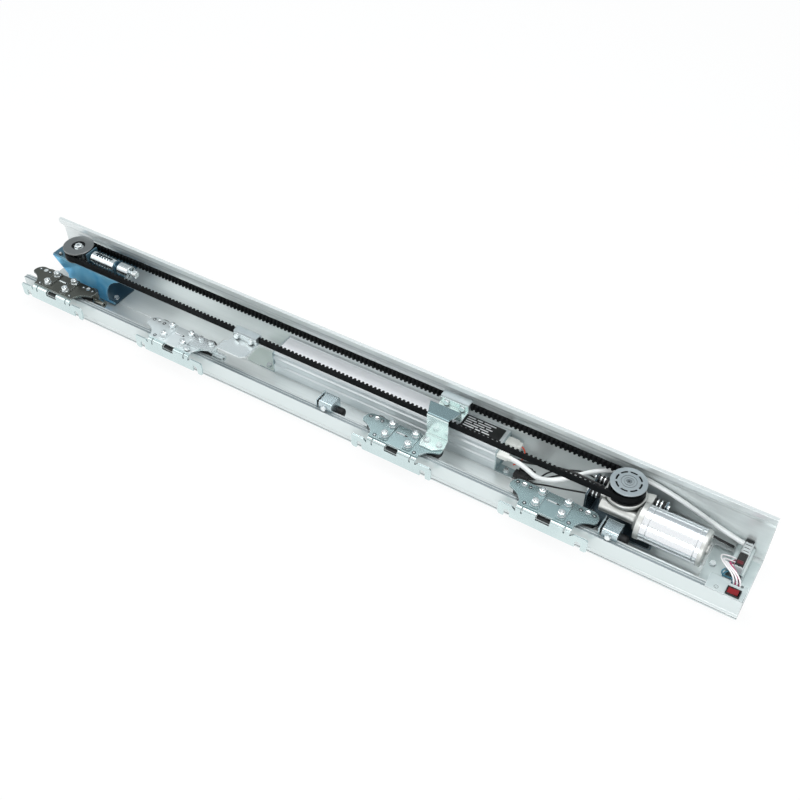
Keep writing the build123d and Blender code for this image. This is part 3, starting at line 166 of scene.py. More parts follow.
plain = add_node(
    tree, "ShaderNodeMix",
    {0: rays.outputs["Is Glossy Ray"], 6: linear("#FFFFFF"), 7: mirrored.outputs[2]},
    data_type="RGBA",
)
room = add_node(tree, "ShaderNodeBackground", {"Color": linear("#ECF1F2"), "Strength": 0.85})
white = add_node(tree, "ShaderNodeBackground", {"Color": plain.outputs[2], "Strength": 1.0})
mixed = add_node(
    tree, "ShaderNodeMixShader", {0: seen.outputs[0], 1: room.outputs[0], 2: white.outputs[0]}
)
add_node(tree, "ShaderNodeOutputWorld", {"Surface": mixed.outputs[0]})

# Each with its place, the point that it faces, its size in metres and its watts.
softboxes = {
    "softbox_over": ((0.1, 0.35, 1.9), (0, 0.05, 0), (2.4, 1.0), 23),
    "softbox_left": ((-1.9, -0.9, 1.2), (-0.2, 0, 0), (1.2, 1.0), 6),
    "softbox_front": ((0.9, -2.0, 0.9), (0.2, 0, 0.05), (1.4, 0.7), 15),
}
for name, (place, target, size, watts) in softboxes.items():
    lamp = bpy.data.lights.new(name, "AREA")
    lamp.shape = "RECTANGLE"
    lamp.size, lamp.size_y = size
    lamp.energy = watts
    box = bpy.data.objects.new(name, lamp)
    box.location = place
    box.rotation_euler = (Vector(target) - Vector(place)).to_track_quat("-Z", "Y").to_euler()
    scene.collection.objects.link(box)


# Header: one aluminium extrusion, cut to length and satin anodised, which spreads the light softly.
# The die's faint lines run along all of it, drawn coarser than real so that they show.
# Painted shade makes the rail a shade darker outside and a grey strip on its top, and a dark line
# of painted shade low on its front stands for a groove.
mm = 0.001
sawn_colour = "#E6E9EA"
# Colours of painted shade on the rail: its outside face, its top strip and a line low on its front.
rail_outside_shade = "#D6DEDE"
rail_top_shade = "#8E999C"
rail_groove_shade = "#4C5356"
header_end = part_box("header_track")[1][0] - 0.2 * mm
rail_front = -62.9 * mm
strip_front = -54.6 * mm
strip_height = 43.6 * mm
line_height = 4.6 * mm
line_half = 0.7 * mm


def finish_of(name):
    """A new material with its node tree and surface shader."""
    material = bpy.data.materials.new(name)
    material.use_nodes = True
    tree = material.node_tree
    tree.nodes.clear()
    surface = add_node(tree, "ShaderNodeBsdfPrincipled", {})
    add_node(tree, "ShaderNodeOutputMaterial", {"Surface": surface.outputs[0]})
    return material, tree, surface


def surface_of(material):
    """The surface shader of a finished material."""
    return material.node_tree.nodes["Principled BSDF"]


def cover(tree, surface, colour, rough, bump):
    """Links the surface to its colour, its roughness and its relief."""
    tree.links.new(colour, surface.inputs["Base Color"])
    tree.links.new(rough.outputs[0], surface.inputs["Roughness"])
    tree.links.new(bump.outputs[0], surface.inputs["Normal"])


def dress(name, material):
    """Gives the node this material."""
    mesh = nodes[name].data
    mesh.materials.clear()
    mesh.materials.append(material)


def with_painted_shade(tree, colour, reach, dark, own=False):
    """Painted shade in the colour's corners, near other surfaces; own heeds the piece alone."""
    near = add_node(
        tree, "ShaderNodeAmbientOcclusion", {"Distance": reach}, samples=6, only_local=own
    )
    share = add_node(
        tree, "ShaderNodeMapRange", {0: near.outputs["AO"], 1: 0.2, 2: 0.75, 3: 0.8, 4: 0.0}
    )
    mixed = add_node(
        tree, "ShaderNodeMix",
        {0: share.outputs[0], 6: colour, 7: linear(dark)}, data_type="RGBA",
    )
    return mixed.outputs[2]


def with_edge_highlight(tree, edge, colour, pale):
    """The colour with a painted highlight on sharp edges, where the bevelled normal turns away."""
    true = add_node(tree, "ShaderNodeNewGeometry", {})
    turn = add_node(
        tree, "ShaderNodeVectorMath", {0: edge.outputs[0], 1: true.outputs["Normal"]},
        operation="DOT_PRODUCT",
    )
    share = add_node(
        tree, "ShaderNodeMapRange", {0: turn.outputs["Value"], 1: 0.8, 2: 0.98, 3: 0.85, 4: 0.0}
    )
    mixed = add_node(
        tree, "ShaderNodeMix",
        {0: share.outputs[0], 6: colour, 7: linear(pale)}, data_type="RGBA",
    )
    return mixed.outputs[2]


def anodised_extrusion(name, pale, deep, line_width, line_length, sawn_end, metal_share):
    """Aluminium with the die's lines along X, and a paler cut past sawn_end from the middle."""
    material, tree, surface = finish_of(name)
    place = add_node(tree, "ShaderNodeTexCoord", {}).outputs["Object"]
    drawn = add_node(
        tree, "ShaderNodeMapping",
        {"Vector": place, "Scale": (1 / line_length, 1 / line_width, 1 / line_width)},
    )
    lines = add_node(
        tree, "ShaderNodeTexNoise", {"Vector": drawn.outputs[0], "Scale": 1.0, "Detail": 4.0}
    )
    streaks = add_node(
        tree, "ShaderNodeMapRange", {0: lines.outputs[0], 1: 0.3, 2: 0.7, 3: 0.0, 4: 1.0}
    )
    tone = add_node(
        tree, "ShaderNodeMix",
        {0: streaks.outputs[0], 6: linear(pale), 7: linear(deep)}, data_type="RGBA",
    )
    parts = add_node(tree, "ShaderNodeSeparateXYZ", {0: place})
    out = add_node(tree, "ShaderNodeMath", {0: parts.outputs["X"]}, operation="ABSOLUTE")
    sawn = add_node(
        tree, "ShaderNodeMath", {0: out.outputs[0], 1: sawn_end}, operation="GREATER_THAN"
    )
    ends = add_node(
        tree, "ShaderNodeMix",
        {0: sawn.outputs[0], 6: tone.outputs[2], 7: linear(sawn_colour)}, data_type="RGBA",
    )
    # Painted shade: a dark line low on the rail's front, where a groove would lie.
    from_line = add_node(
        tree, "ShaderNodeMath", {0: parts.outputs["Z"], 1: line_height}, operation="SUBTRACT"
    )
    from_line = add_node(tree, "ShaderNodeMath", {0: from_line.outputs[0]}, operation="ABSOLUTE")
    line = add_node(
        tree, "ShaderNodeMath", {0: from_line.outputs[0], 1: line_half}, operation="LESS_THAN"
    )
    front = add_node(
        tree, "ShaderNodeMath", {0: parts.outputs["Y"], 1: rail_front}, operation="LESS_THAN"
    )
    line = add_node(
        tree, "ShaderNodeMath", {0: line.outputs[0], 1: front.outputs[0]}, operation="MULTIPLY"
    )
    # Painted shade: the rail's outside face a shade darker, its top strip darker still.
    outside = add_node(
        tree, "ShaderNodeMix",
        {0: front.outputs[0], 6: ends.outputs[2], 7: linear(rail_outside_shade)}, data_type="RGBA",
    )
    on_rail = add_node(
        tree, "ShaderNodeMath", {0: parts.outputs["Y"], 1: strip_front}, operation="LESS_THAN"
    )
    strip = add_node(
        tree, "ShaderNodeMath", {0: parts.outputs["Z"], 1: strip_height}, operation="GREATER_THAN"
    )
    strip = add_node(
        tree, "ShaderNodeMath", {0: strip.outputs[0], 1: on_rail.outputs[0]}, operation="MULTIPLY"
    )
    stripped = add_node(
        tree, "ShaderNodeMix",
        {0: strip.outputs[0], 6: outside.outputs[2], 7: linear(rail_top_shade)}, data_type="RGBA",
    )
    lined = add_node(
        tree, "ShaderNodeMix",
        {0: line.outputs[0], 6: stripped.outputs[2], 7: linear(rail_groove_shade)}, data_type="RGBA",
    )
    rough = add_node(
        tree, "ShaderNodeMapRange", {0: lines.outputs[0], 1: 0.3, 2: 0.7, 3: 0.22, 4: 0.26}
    )
    edge = add_node(tree, "ShaderNodeBevel", {"Radius": 0.9 * mm}, samples=4)
    # Painted shade in the corners, and a painted highlight on the edges.
    colour = with_painted_shade(tree, lined.outputs[2], 7 * mm, "#6A7478", True)
    colour = with_edge_highlight(tree, edge, colour, "#FAFCFC")
    bump = add_node(
        tree, "ShaderNodeBump",
        {
            "Height": lines.outputs[0], "Strength": 0.3, "Distance": 0.006 * mm,
            "Normal": edge.outputs[0],
        },
    )
    cover(tree, surface, colour, rough, bump)
    surface.inputs["Metallic"].default_value = metal_share
    return material


header_skin = anodised_extrusion(
    "satin anodised aluminium, extruded", "#E7ECEC", "#E0E6E6",
    line_width=1.8 * mm, line_length=0.9, sawn_end=header_end, metal_share=0.48,
)
dress("header_track", header_skin)


# Toothed belt: one endless loop of moulded rubber with a fabric facing on its teeth.
# It is dull black and a little cloudy, and gives back almost no light.
def moulded(name, pale, deep, rough_low, rough_high):
    """Rubber or plastic, a little cloudy; its grain is coarser than real so that it shows."""
    material, tree, surface = finish_of(name)
    place = add_node(tree, "ShaderNodeTexCoord", {}).outputs["Object"]
    grain = add_node(
        tree, "ShaderNodeTexNoise", {"Vector": place, "Scale": 1 / (0.9 * mm), "Detail": 3.0}
    )
    cloud = add_node(
        tree, "ShaderNodeTexNoise", {"Vector": place, "Scale": 1 / (12 * mm), "Detail": 3.0}
    )
    tone = add_node(
        tree, "ShaderNodeMix",
        {0: cloud.outputs[0], 6: linear(pale), 7: linear(deep)}, data_type="RGBA",
    )
    rough = add_node(
        tree, "ShaderNodeMapRange",
        {0: cloud.outputs[0], 1: 0.3, 2: 0.7, 3: rough_low, 4: rough_high},
    )
    edge = add_node(tree, "ShaderNodeBevel", {"Radius": 0.4 * mm}, samples=4)
    bump = add_node(
        tree, "ShaderNodeBump",
        {
            "Height": grain.outputs[0], "Strength": 0.4, "Distance": 0.04 * mm,
            "Normal": edge.outputs[0],
        },
    )
    cover(tree, surface, tone.outputs[2], rough, bump)
    return material


belt_rubber = moulded("moulded belt rubber, fabric faced", "#0E1113", "#040506", 0.5, 0.66)
surface_of(belt_rubber).inputs["Specular IOR Level"].default_value = 0.12
dress("toothed_belt", belt_rubber)


# Idler bracket and its sliding plate: folded steel, zinc plated and passivated deep blue.
# The plating mirrors softly with cloudy blues; painted shade darkens foot and top plate to slate.
def zinc_plate(name, pale, deep, rough, cloud_size, metal_share=0.96, edge_width=1.1 * mm):
    """Plated steel with soft clouds, painted shade in corners and a painted highlight on edges."""
    material, tree, surface = finish_of(name)
    place = add_node(tree, "ShaderNodeTexCoord", {}).outputs["Object"]
    cloud = add_node(
        tree, "ShaderNodeTexNoise",
        {"Vector": place, "Scale": 1 / cloud_size, "Detail": 2.0, "Distortion": 0.4},
    )
    spread = add_node(
        tree, "ShaderNodeMapRange", {0: cloud.outputs[0], 1: 0.3, 2: 0.7, 3: 0.0, 4: 1.0}
    )
    tone = add_node(
        tree, "ShaderNodeMix",
        {0: spread.outputs[0], 6: linear(pale), 7: linear(deep)}, data_type="RGBA",
    )
    edge = add_node(tree, "ShaderNodeBevel", {"Radius": edge_width}, samples=6)
    colour = with_painted_shade(tree, tone.outputs[2], 5 * mm, "#394348")
    colour = with_edge_highlight(tree, edge, colour, "#F4FAFA")
    tree.links.new(colour, surface.inputs["Base Color"])
    surface.inputs["Roughness"].default_value = rough
    surface.inputs["Metallic"].default_value = metal_share
    return material


def shaded_by_height(material, low, high, low_share, high_share, colour):
    """Painted shade towards the colour, by a share that changes between two heights."""
    tree = material.node_tree
    surface = surface_of(material)
    plain = surface.inputs["Base Color"].links[0].from_socket
    place = add_node(tree, "ShaderNodeTexCoord", {}).outputs["Object"]
    height = add_node(tree, "ShaderNodeSeparateXYZ", {0: place}).outputs["Z"]
    share = add_node(
        tree, "ShaderNodeMapRange", {0: height, 1: low, 2: high, 3: low_share, 4: high_share}
    )
    mixed = add_node(
        tree, "ShaderNodeMix",
        {0: share.outputs[0], 6: plain, 7: linear(colour)}, data_type="RGBA",
    )
    tree.links.new(mixed.outputs[2], surface.inputs["Base Color"])


def skin(mesh, rings):
    """Faces between each ring of points and the next; a ring of one point closes an end."""
    made = [[mesh.verts.new(point) for point in ring] for ring in rings]
    for low, high in zip(made, made[1:]):
        for k in range(max(len(low), len(high))):
            corners = [
                low[k % len(low)], low[(k + 1) % len(low)],
                high[(k + 1) % len(high)], high[k % len(high)],
            ]
            mesh.faces.new(list(dict.fromkeys(corners)))


def lathe(mesh, place, profile, steps=28):
    """Turns (radius, height) points in mm about the Z axis of place."""
    rings = []
    for radius, height in profile:
        if radius == 0:
            rings.append([place @ Vector((0, 0, height * mm))])
        else:
            turns = [2 * math.pi * k / steps for k in range(steps)]
            rings.append([
                place @ Vector((radius * mm * math.cos(a), radius * mm * math.sin(a), height * mm))
                for a in turns
            ])
    skin(mesh, rings)


def hexagon(mesh, place, across, low, high, bore):
    """A nut or head with both ends turned to a cone, so that each flat ends in an arc."""
    steps = 36
    rings = {"low": [], "rise": [], "fall": [], "high": [], "hole": [], "deep": []}
    for k in range(steps):
        a = 2 * math.pi * k / steps
        corner = across / 2 / math.cos((a + math.pi / 6) % (math.pi / 3) - math.pi / 6)
        drop = (corner - across * 0.48) * math.tan(math.radians(30))
        for ring, radius, height in (
            ("low", across * 0.48, low), ("rise", corner, low + drop),
            ("fall", corner, high - drop), ("high", across * 0.48, high),
            ("hole", bore + 0.3, high), ("deep", bore, high - 0.4),
        ):
            rings[ring].append(
                place @ Vector((radius * mm * math.cos(a), radius * mm * math.sin(a), height * mm))
            )
    skin(mesh, list(rings.values()))


def thread(mesh, place, radius, low, high, pitch):
    """A screw's rod with a chamfered end; its pitch is coarser than real so that it shows."""
    steps = 20
    rows = int((high - low) / pitch * 4)
    rings = [[place @ Vector((0, 0, low * mm))]]
    for row in range(rows + 1):
        height = low + (high - low) * row / rows
        ring = []
        for k in range(steps):
            a = 2 * math.pi * k / steps
            phase = (height / pitch - k / steps) % 1
            groove = 0.11 * radius * (1 - abs(2 * phase - 1))
            end = 0.18 * radius * max(0, 1 - (high - height) / (0.25 * radius))
            r = (radius - groove - end) * mm
            ring.append(place @ Vector((r * math.cos(a), r * math.sin(a), height * mm)))
        rings.append(ring)
    rings.append([place @ Vector((0, 0, high * mm))])
    skin(mesh, rings)


def add_piece(name, mesh, material, body):
    """Makes the mesh one piece of the operator, which rides on that body."""
    bmesh.ops.recalc_face_normals(mesh, faces=mesh.faces)
    data = bpy.data.meshes.new(name)
    mesh.to_mesh(data)
    mesh.free()
    data.materials.append(material)
    data.shade_smooth()
    data.set_sharp_from_angle(angle=math.radians(35))
    made = bpy.data.objects.new(name, data)
    scene.collection.objects.link(made)
    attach(made, body)
    return made


def on_axis(x, y, z, direction):
    """A frame at that place in mm, whose Z axis points along direction."""
    turn = Vector(direction).to_track_quat("Z", "Y").to_matrix().to_4x4()
    return Matrix.Translation((x * mm, y * mm, z * mm)) @ turn


blue_zinc = zinc_plate(
    "zinc plate on folded steel, blue passivated", "#98DCFA", "#49ABDF", 0.18, 50 * mm,
    metal_share=0.5,
)
# The top plate and the foot carry painted shade, darker than the wall between them.
shaded_by_height(blue_zinc, 68 * mm, 70.5 * mm, 0.0, 0.85, "#41565F")
shaded_by_height(blue_zinc, 5.8 * mm, 8 * mm, 0.9, 0.0, "#2C3B43")
dress("idler_bracket", blue_zinc)
dress("idler_slider", blue_zinc)

bright_zinc = zinc_plate(
    "bright zinc plate on screws and nuts", "#F6FAFA", "#D9E1E4", 0.16, 5 * mm,
    metal_share=0.8, edge_width=0.35 * mm,
)
black_oxide = zinc_plate("black oxide on small nuts", "#33383A", "#17191A", 0.3, 4 * mm)
corner_at = (-668.6, 1.5)
bracket_top = 72
mesh = bmesh.new()
thread(mesh, on_axis(*corner_at, 0, (0, 0, 1)), 1.9, bracket_top - 4, bracket_top + 4.4, 0.9)
add_piece("corner_screw", mesh, bright_zinc, "header")
mesh = bmesh.new()
hexagon(mesh, on_axis(*corner_at, 0, (0, 0, 1)), 7, bracket_top, bracket_top + 2.8, 2)
add_piece("corner_nut", mesh, black_oxide, "header")


# Idler pulley: turned from grey hard anodised alloy, with a pressed bearing under a flanged bolt.
# Fine lathe rings run round its top face, and painted shade darkens the tooth gaps under it.
def turned(name, pale, deep, rough_low, rough_high, centre, axis, ring_width, shade_under=None):
    """Metal with the lathe's rings round that axis, coarser than real so that they show.

    Painted shade darkens its corners, and all of it below the given height from the centre.
    """
    material, tree, surface = finish_of(name)
    place = add_node(tree, "ShaderNodeTexCoord", {}).outputs["Object"]
    from_centre = add_node(
        tree, "ShaderNodeVectorMath", {0: place, 1: centre}, operation="SUBTRACT"
    )
    parts = add_node(tree, "ShaderNodeSeparateXYZ", {0: from_centre.outputs[0]})
    flat = {"X": ("Y", "Z"), "Z": ("X", "Y")}[axis]
    across = add_node(
        tree, "ShaderNodeCombineXYZ", {0: parts.outputs[flat[0]], 1: parts.outputs[flat[1]]}
    )
    radius = add_node(tree, "ShaderNodeVectorMath", {0: across.outputs[0]}, operation="LENGTH")
    ring_place = add_node(
        tree, "ShaderNodeCombineXYZ", {0: radius.outputs["Value"], 1: parts.outputs[axis]}
    )
    rings = add_node(
        tree, "ShaderNodeTexNoise",
        {"Vector": ring_place.outputs[0], "Scale": 1 / ring_width, "Detail": 3.0},
    )
    tone = add_node(
        tree, "ShaderNodeMix",
        {0: rings.outputs[0], 6: linear(pale), 7: linear(deep)}, data_type="RGBA",
    )
    colour = with_painted_shade(tree, tone.outputs[2], 4 * mm, "#2F3436")
    if shade_under is not None:
        under = add_node(
            tree, "ShaderNodeMath", {0: parts.outputs[axis], 1: shade_under}, operation="LESS_THAN"
        )
        shaded = add_node(
            tree, "ShaderNodeMix",
            {0: under.outputs[0], 6: colour, 7: linear("#2A2D2F")}, data_type="RGBA",
        )
        colour = shaded.outputs[2]
    rough = add_node(
        tree, "ShaderNodeMapRange",
        {0: rings.outputs[0], 1: 0.3, 2: 0.7, 3: rough_low, 4: rough_high},
    )
    edge = add_node(tree, "ShaderNodeBevel", {"Radius": 0.5 * mm}, samples=4)
    bump = add_node(
        tree, "ShaderNodeBump",
        {
            "Height": rings.outputs[0], "Strength": 0.25, "Distance": 0.04 * mm,
            "Normal": edge.outputs[0],
        },
    )
    cover(tree, surface, colour, rough, bump)
    surface.inputs["Metallic"].default_value = 1.0
    return material


idler_centre = (-631 * mm, 17.5 * mm, 98 * mm)
idler_alloy = turned(
    "turned alloy, hard anodised grey", "#9EA1A1", "#717475", 0.3, 0.42, idler_centre, "Z", 0.7 * mm
)
dress("idler_pulley", idler_alloy)
bearing_rings = turned(
    "ground bearing rings with black seals", "#3C3E40", "#131415", 0.3, 0.45,
    idler_centre, "Z", 0.8 * mm,
)
dress("idler_bearing", bearing_rings)
dress("idler_axle", bright_zinc)


# Belt tensioner: a spring in a bright slotted barrel, pulled by a screw with a slotted round knob.
# Bright zinc plate on tube, wire and screw, and a turned knob: small, sharp highlights.
tension_axis = (-515 * mm, 17.5 * mm, 85 * mm)
barrel_zinc = zinc_plate("bright zinc plate on drawn tube", "#E4EBED", "#B9C5CA", 0.12, 12 * mm)
dress("tension_barrel", barrel_zinc)
spring_wire = zinc_plate("zinc plate on drawn spring wire", "#C7D0D4", "#93A0A6", 0.16, 3 * mm)
dress("tension_spring", spring_wire)
knob_alloy = turned(
    "turned bright knob", "#DDE4E6", "#B3BCC0", 0.18, 0.3, tension_axis, "X", 0.6 * mm
)
dress("tension_knob", knob_alloy)
dress("tension_screw", bright_zinc)


# Drive pulley: a turned disc with eight arc slots over the toothed ring, on the gearbox shaft.
# Satin grey turned alloy; painted shade darkens its slot floors and the gaps between its teeth.
drive_centre = (493 * mm, 17.5 * mm, 98 * mm)
drive_alloy = turned(
    "turned alloy disc, satin grey", "#B6BFC3", "#A4AEB2", 0.28, 0.4,
    drive_centre, "Z", 0.7 * mm, shade_under=-1.6 * mm,
)
dress("drive_pulley", drive_alloy)
shaft_steel = turned(
    "turned and centred shaft steel", "#A9B1B4", "#858E92", 0.2, 0.3, drive_centre, "Z", 0.6 * mm
)
dress("drive_shaft", shaft_steel)


# Gearbox housing and motor end cap: die cast aluminium, tumbled.
# A fine even grain, slightly yellow against the plated steel, with softly rounded edges.
def die_cast(name, pale, deep):
    """Cast metal, painted shade in its corners; its grain is coarser than real so that it shows."""
    material, tree, surface = finish_of(name)
    place = add_node(tree, "ShaderNodeTexCoord", {}).outputs["Object"]
    grain = add_node(
        tree, "ShaderNodeTexNoise", {"Vector": place, "Scale": 1 / (1.4 * mm), "Detail": 4.0}
    )
    cloud = add_node(
        tree, "ShaderNodeTexNoise", {"Vector": place, "Scale": 1 / (14 * mm), "Detail": 3.0}
    )
    tone = add_node(
        tree, "ShaderNodeMix",
        {0: cloud.outputs[0], 6: linear(pale), 7: linear(deep)}, data_type="RGBA",
    )
    colour = with_painted_shade(tree, tone.outputs[2], 6 * mm, "#4A4D4C")
    rough = add_node(
        tree, "ShaderNodeMapRange", {0: grain.outputs[0], 1: 0.3, 2: 0.7, 3: 0.36, 4: 0.52}
    )
    edge = add_node(tree, "ShaderNodeBevel", {"Radius": 0.9 * mm}, samples=4)
    bump = add_node(
        tree, "ShaderNodeBump",
        {
            "Height": grain.outputs[0], "Strength": 0.5, "Distance": 0.12 * mm,
            "Normal": edge.outputs[0],
        },
    )
    cover(tree, surface, colour, rough, bump)
    surface.inputs["Metallic"].default_value = 0.92
    return material


gear_case = die_cast("die cast aluminium, tumbled", "#D9DBD8", "#B7BAB8")
dress("gearbox_housing", gear_case)
dress("motor_end_cap", gear_case)


# Motor can: rolled and seam welded steel, brushed round and lacquered.
# It is nearly smooth, so the softboxes run along it as long bright bands.
motor_axis = (580 * mm, -7.5 * mm, 56 * mm)
can_steel = turned(
    "brushed and lacquered can steel", "#F0F3F6", "#E8ECEF", 0.17, 0.22, motor_axis, "X", 1.4 * mm
)
dress("motor_can", can_steel)


# Motor mounting: a folded steel bracket, and black rubber rings with bright washers on each bolt.
# The bracket is plated dark, the rubber is matt, and the washers catch small highlights.
dark_zinc = zinc_plate(
    "dark passivated zinc plate on bracket steel", "#7F919C", "#46545E", 0.2, 30 * mm
)
dress("motor_bracket", dark_zinc)
black_rubber = moulded("moulded black rubber", "#1D1F20", "#0C0D0E", 0.4, 0.55)
surface_of(black_rubber).inputs["Specular IOR Level"].default_value = 0.35
dress("rubber_dampers", black_rubber)
dress("damper_bolts", bright_zinc)


# Control unit: a fluted anodised box closed by two folded covers with screw feet.
# It carries one long bare silver label and one black label with plain white bars.
# The covers hide the box's own cut ends, so its sawn_end lies beyond them.
box_skin = anodised_extrusion(
    "satin anodised box profile", "#E6ECEE", "#D8E0E3",
    line_width=1.2 * mm, line_length=0.4, sawn_end=1.0, metal_share=0.6,
)
dress("control_housing", box_skin)
cover_zinc = zinc_plate(
    "blue passivated zinc plate on thin covers", "#BFD0D3", "#93A9AE", 0.24, 22 * mm,
    metal_share=0.6,
)
dress("control_end_caps", cover_zinc)
board_laminate = moulded("glass fibre laminate with green mask", "#1F6B3A", "#154D2A", 0.3, 0.4)
dress("circuit_board", board_laminate)


def rounded(x1, x2, y1, y2, corner, steps=4):
    """Points in mm round a rectangle with rounded corners."""
    points = []
    for cx, cy, start in (
        (x2 - corner, y2 - corner, 0), (x1 + corner, y2 - corner, 90),
        (x1 + corner, y1 + corner, 180), (x2 - corner, y1 + corner, 270),
    ):
        for k in range(steps + 1):
            a = math.radians(start + 90 * k / steps)
            points.append((cx + corner * math.cos(a), cy + corner * math.sin(a)))
    return points


def slab(mesh, place, outline, low, high, ease):
    """A block on a convex outline in mm, its upper edge eased."""
    x0 = sum(x for x, y in outline) / len(outline)
    y0 = sum(y for x, y in outline) / len(outline)
    eased = [
        (
            x - math.copysign(min(ease, abs(x - x0)), x - x0),
            y - math.copysign(min(ease, abs(y - y0)), y - y0),
        )
        for x, y in outline
    ]
    rings = [[place @ Vector((x0 * mm, y0 * mm, low * mm))]]
    for points, height in ((outline, low), (outline, high - ease), (eased, high)):
        rings.append([place @ Vector((x * mm, y * mm, height * mm)) for x, y in points])
    rings.append([place @ Vector((x0 * mm, y0 * mm, high * mm))])
    skin(mesh, rings)


level = Matrix.Identity(4)
foot_area = (-236, -173, 7, 46)
silver_area = (-169, 186, 20, 56)
black_area = (195, 268, 27, 56)
label_corner = 1.5
film_thickness = 0.25
foot_zinc = zinc_plate(
    "green tinted zinc plate on cover foot", "#D3DEDA", "#C2CEC9", 0.28, 60 * mm,
    metal_share=0.6,
)
mesh = bmesh.new()
slab(mesh, level, rounded(*foot_area, 4), 3.1, 5.4, 0.6)
add_piece("left_cover_foot", mesh, foot_zinc, "header")

box_top = 50
label_film = moulded("printed silver polyester film", "#F2F3F6", "#E9EBEF", 0.3, 0.4)
surface_of(label_film).inputs["Metallic"].default_value = 0.05
mesh = bmesh.new()
slab(mesh, level, rounded(*silver_area, label_corner), box_top, box_top + film_thickness, 0.05)
add_piece("silver_label", mesh, label_film, "header")
black_film = moulded("printed black polyester film", "#141617", "#0A0B0C", 0.3, 0.42)
mesh = bmesh.new()
slab(mesh, level, rounded(*black_area, label_corner), box_top, box_top + film_thickness, 0.05)
add_piece("black_label", mesh, black_film, "header")
print_white = moulded("white printing ink", "#F2F4F4", "#DDE1E2", 0.4, 0.5)
mesh = bmesh.new()
for row, bars in enumerate(((14, 10, 22), (18, 24), (12, 20, 12), (26, 16), (20, 9, 14))):
    x = 199
    for width in bars:
        bar = rounded(x, x + width, 50.6 - 5 * row, 52.8 - 5 * row, 0.4, 2)
        slab(mesh, level, bar, box_top, box_top + 0.32, 0.03)
        x += width + 3
add_piece("black_label_bars", mesh, print_white, "header")


# Plugs of the control unit: moulded nylon housings with ribbed sides and a narrower neck.
# Natural nylon, slightly warm against the cable, and an orange wire leaves the upper plug.
plug_nylon = moulded("moulded natural nylon", "#F4F5F2", "#DEE0DA", 0.35, 0.45)
# Lays an outline's X and Y along the part's Y and Z, and its height along X.
side_on = Matrix(((0, 0, 1, 0), (1, 0, 0, 0), (0, 1, 0, 0), (0, 0, 0, 1)))
end_x = 276
mesh = bmesh.new()
for y1, y2, z1, z2, long in ((36.5, 51.5, 38, 46, 27), (7, 18, 36, 44, 25)):
    face = Matrix.Translation((end_x * mm, 0, 0)) @ side_on
    slab(mesh, face, rounded(y1, y2, z1, z2, 0.8), 0, long - 7, 0.6)
    slab(mesh, face, rounded(y1 + 1.6, y2 - 1.6, z1 + 0.8, z2 - 0.8, 1.2), long - 7.2, long, 0.8)
    for k in range(4):
        rib = rounded(y1 - 0.5, y2 + 0.5, z1 - 0.4, z2 + 0.4, 0.8)
        slab(mesh, face, rib, 4 + 3.4 * k, 5.6 + 3.4 * k, 0.4)
plugs = add_piece("control_plugs_ribbed", mesh, plug_nylon, "header")
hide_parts("control_plugs")


def run_wire(name, routes, thickness, material):
    """Smooth wires through control points in mm, all in one piece."""
    line = bpy.data.curves.new(name, "CURVE")
    line.dimensions = "3D"
    line.bevel_depth = thickness / 2 * mm
    line.bevel_resolution = 4
    line.resolution_u = 10
    line.use_fill_caps = True
    for points in routes:
        spline = line.splines.new("NURBS")
        spline.points.add(len(points) - 1)
        for point, (x, y, z) in zip(spline.points, points):
            point.co = (x * mm, y * mm, z * mm, 1)
        spline.order_u = 3
        spline.use_endpoint_u = True
    line.materials.append(material)
    made = bpy.data.objects.new(name, line)
    scene.collection.objects.link(made)
    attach(made, "header")
    return made


orange_pvc = moulded("extruded orange PVC insulation", "#DB4A25", "#B9371A", 0.32, 0.42)
run_wire(
    "orange_wire", [[(302, 44, 42), (308, 43, 41), (313, 37, 34), (310, 28, 24), (300, 22, 17)]],
    2.4, orange_pvc,
)


# Cables: the thick white mains cable, the black motor leads and the black plugs they start from.
# Extruded PVC, smooth with a soft sheen, held between control unit, drive and terminal.
white_pvc = moulded("extruded white PVC sheath", "#F3F5F5", "#E4E7E7", 0.3, 0.4)
black_pvc = moulded("extruded black PVC sheath", "#1A1C1D", "#0B0C0D", 0.28, 0.4)
mains_cable = run_wire(
    "power_cable_smooth",
    [[
        (301, 12.5, 40), (316, 12.5, 40), (374, -20, 53), (449, 54, 72),
        (522, 54.5, 80), (664, 50.5, 34), (676, 50.5, 34),
    ]],
    8, white_pvc,
)
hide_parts("power_cable")
lead = run_wire(
    "motor_lead_smooth",
    [[(276, 28, 24), (310, 28, 24), (366, 12, 64), (414, 14, 73), (459, 17.5, 62)]],
    4, black_pvc,
)
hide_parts("motor_lead")
run_wire(
    "encoder_leads",
    [
        [(334, 13, 12), (346, 14, 12), (362, 20, 40), (392, 24, 58), (424, 34, 62), (448, 36, 46)],
        [(334, 17, 12), (350, 20, 12), (376, 30, 30), (402, 30, 44), (430, 24, 40), (452, 22, 44)],
        [(334, 9, 12), (344, 6, 12), (362, 2, 26), (396, 4, 34), (430, 14, 36), (456, 12, 44)],
    ],
    3, black_pvc,
)
run_wire(
    "earth_lead", [[(540, 56, 24), (575, 56, 20), (620, 55.5, 16), (664, 54, 12)]],
    4.4, black_pvc,
)
black_nylon = moulded("moulded black nylon", "#1B1E1F", "#0D0E0F", 0.26, 0.4)
mesh = bmesh.new()
for x, y, z in ((308, 13, 11), (312, 26, 12)):
    face = Matrix.Translation((x * mm, 0, 0)) @ side_on
    slab(mesh, face, rounded(y - 6, y + 6, z - 5, z + 5, 1), 0, 20, 0.6)
    slab(mesh, face, rounded(y - 4.5, y + 4.5, z - 3.6, z + 3.6, 1), 19, 26, 0.8)
    slab(mesh, face, rounded(y - 6.6, y + 6.6, z - 5.6, z + 5.6, 1), 5, 7, 0.4)
add_piece("black_plugs", mesh, black_nylon, "header")


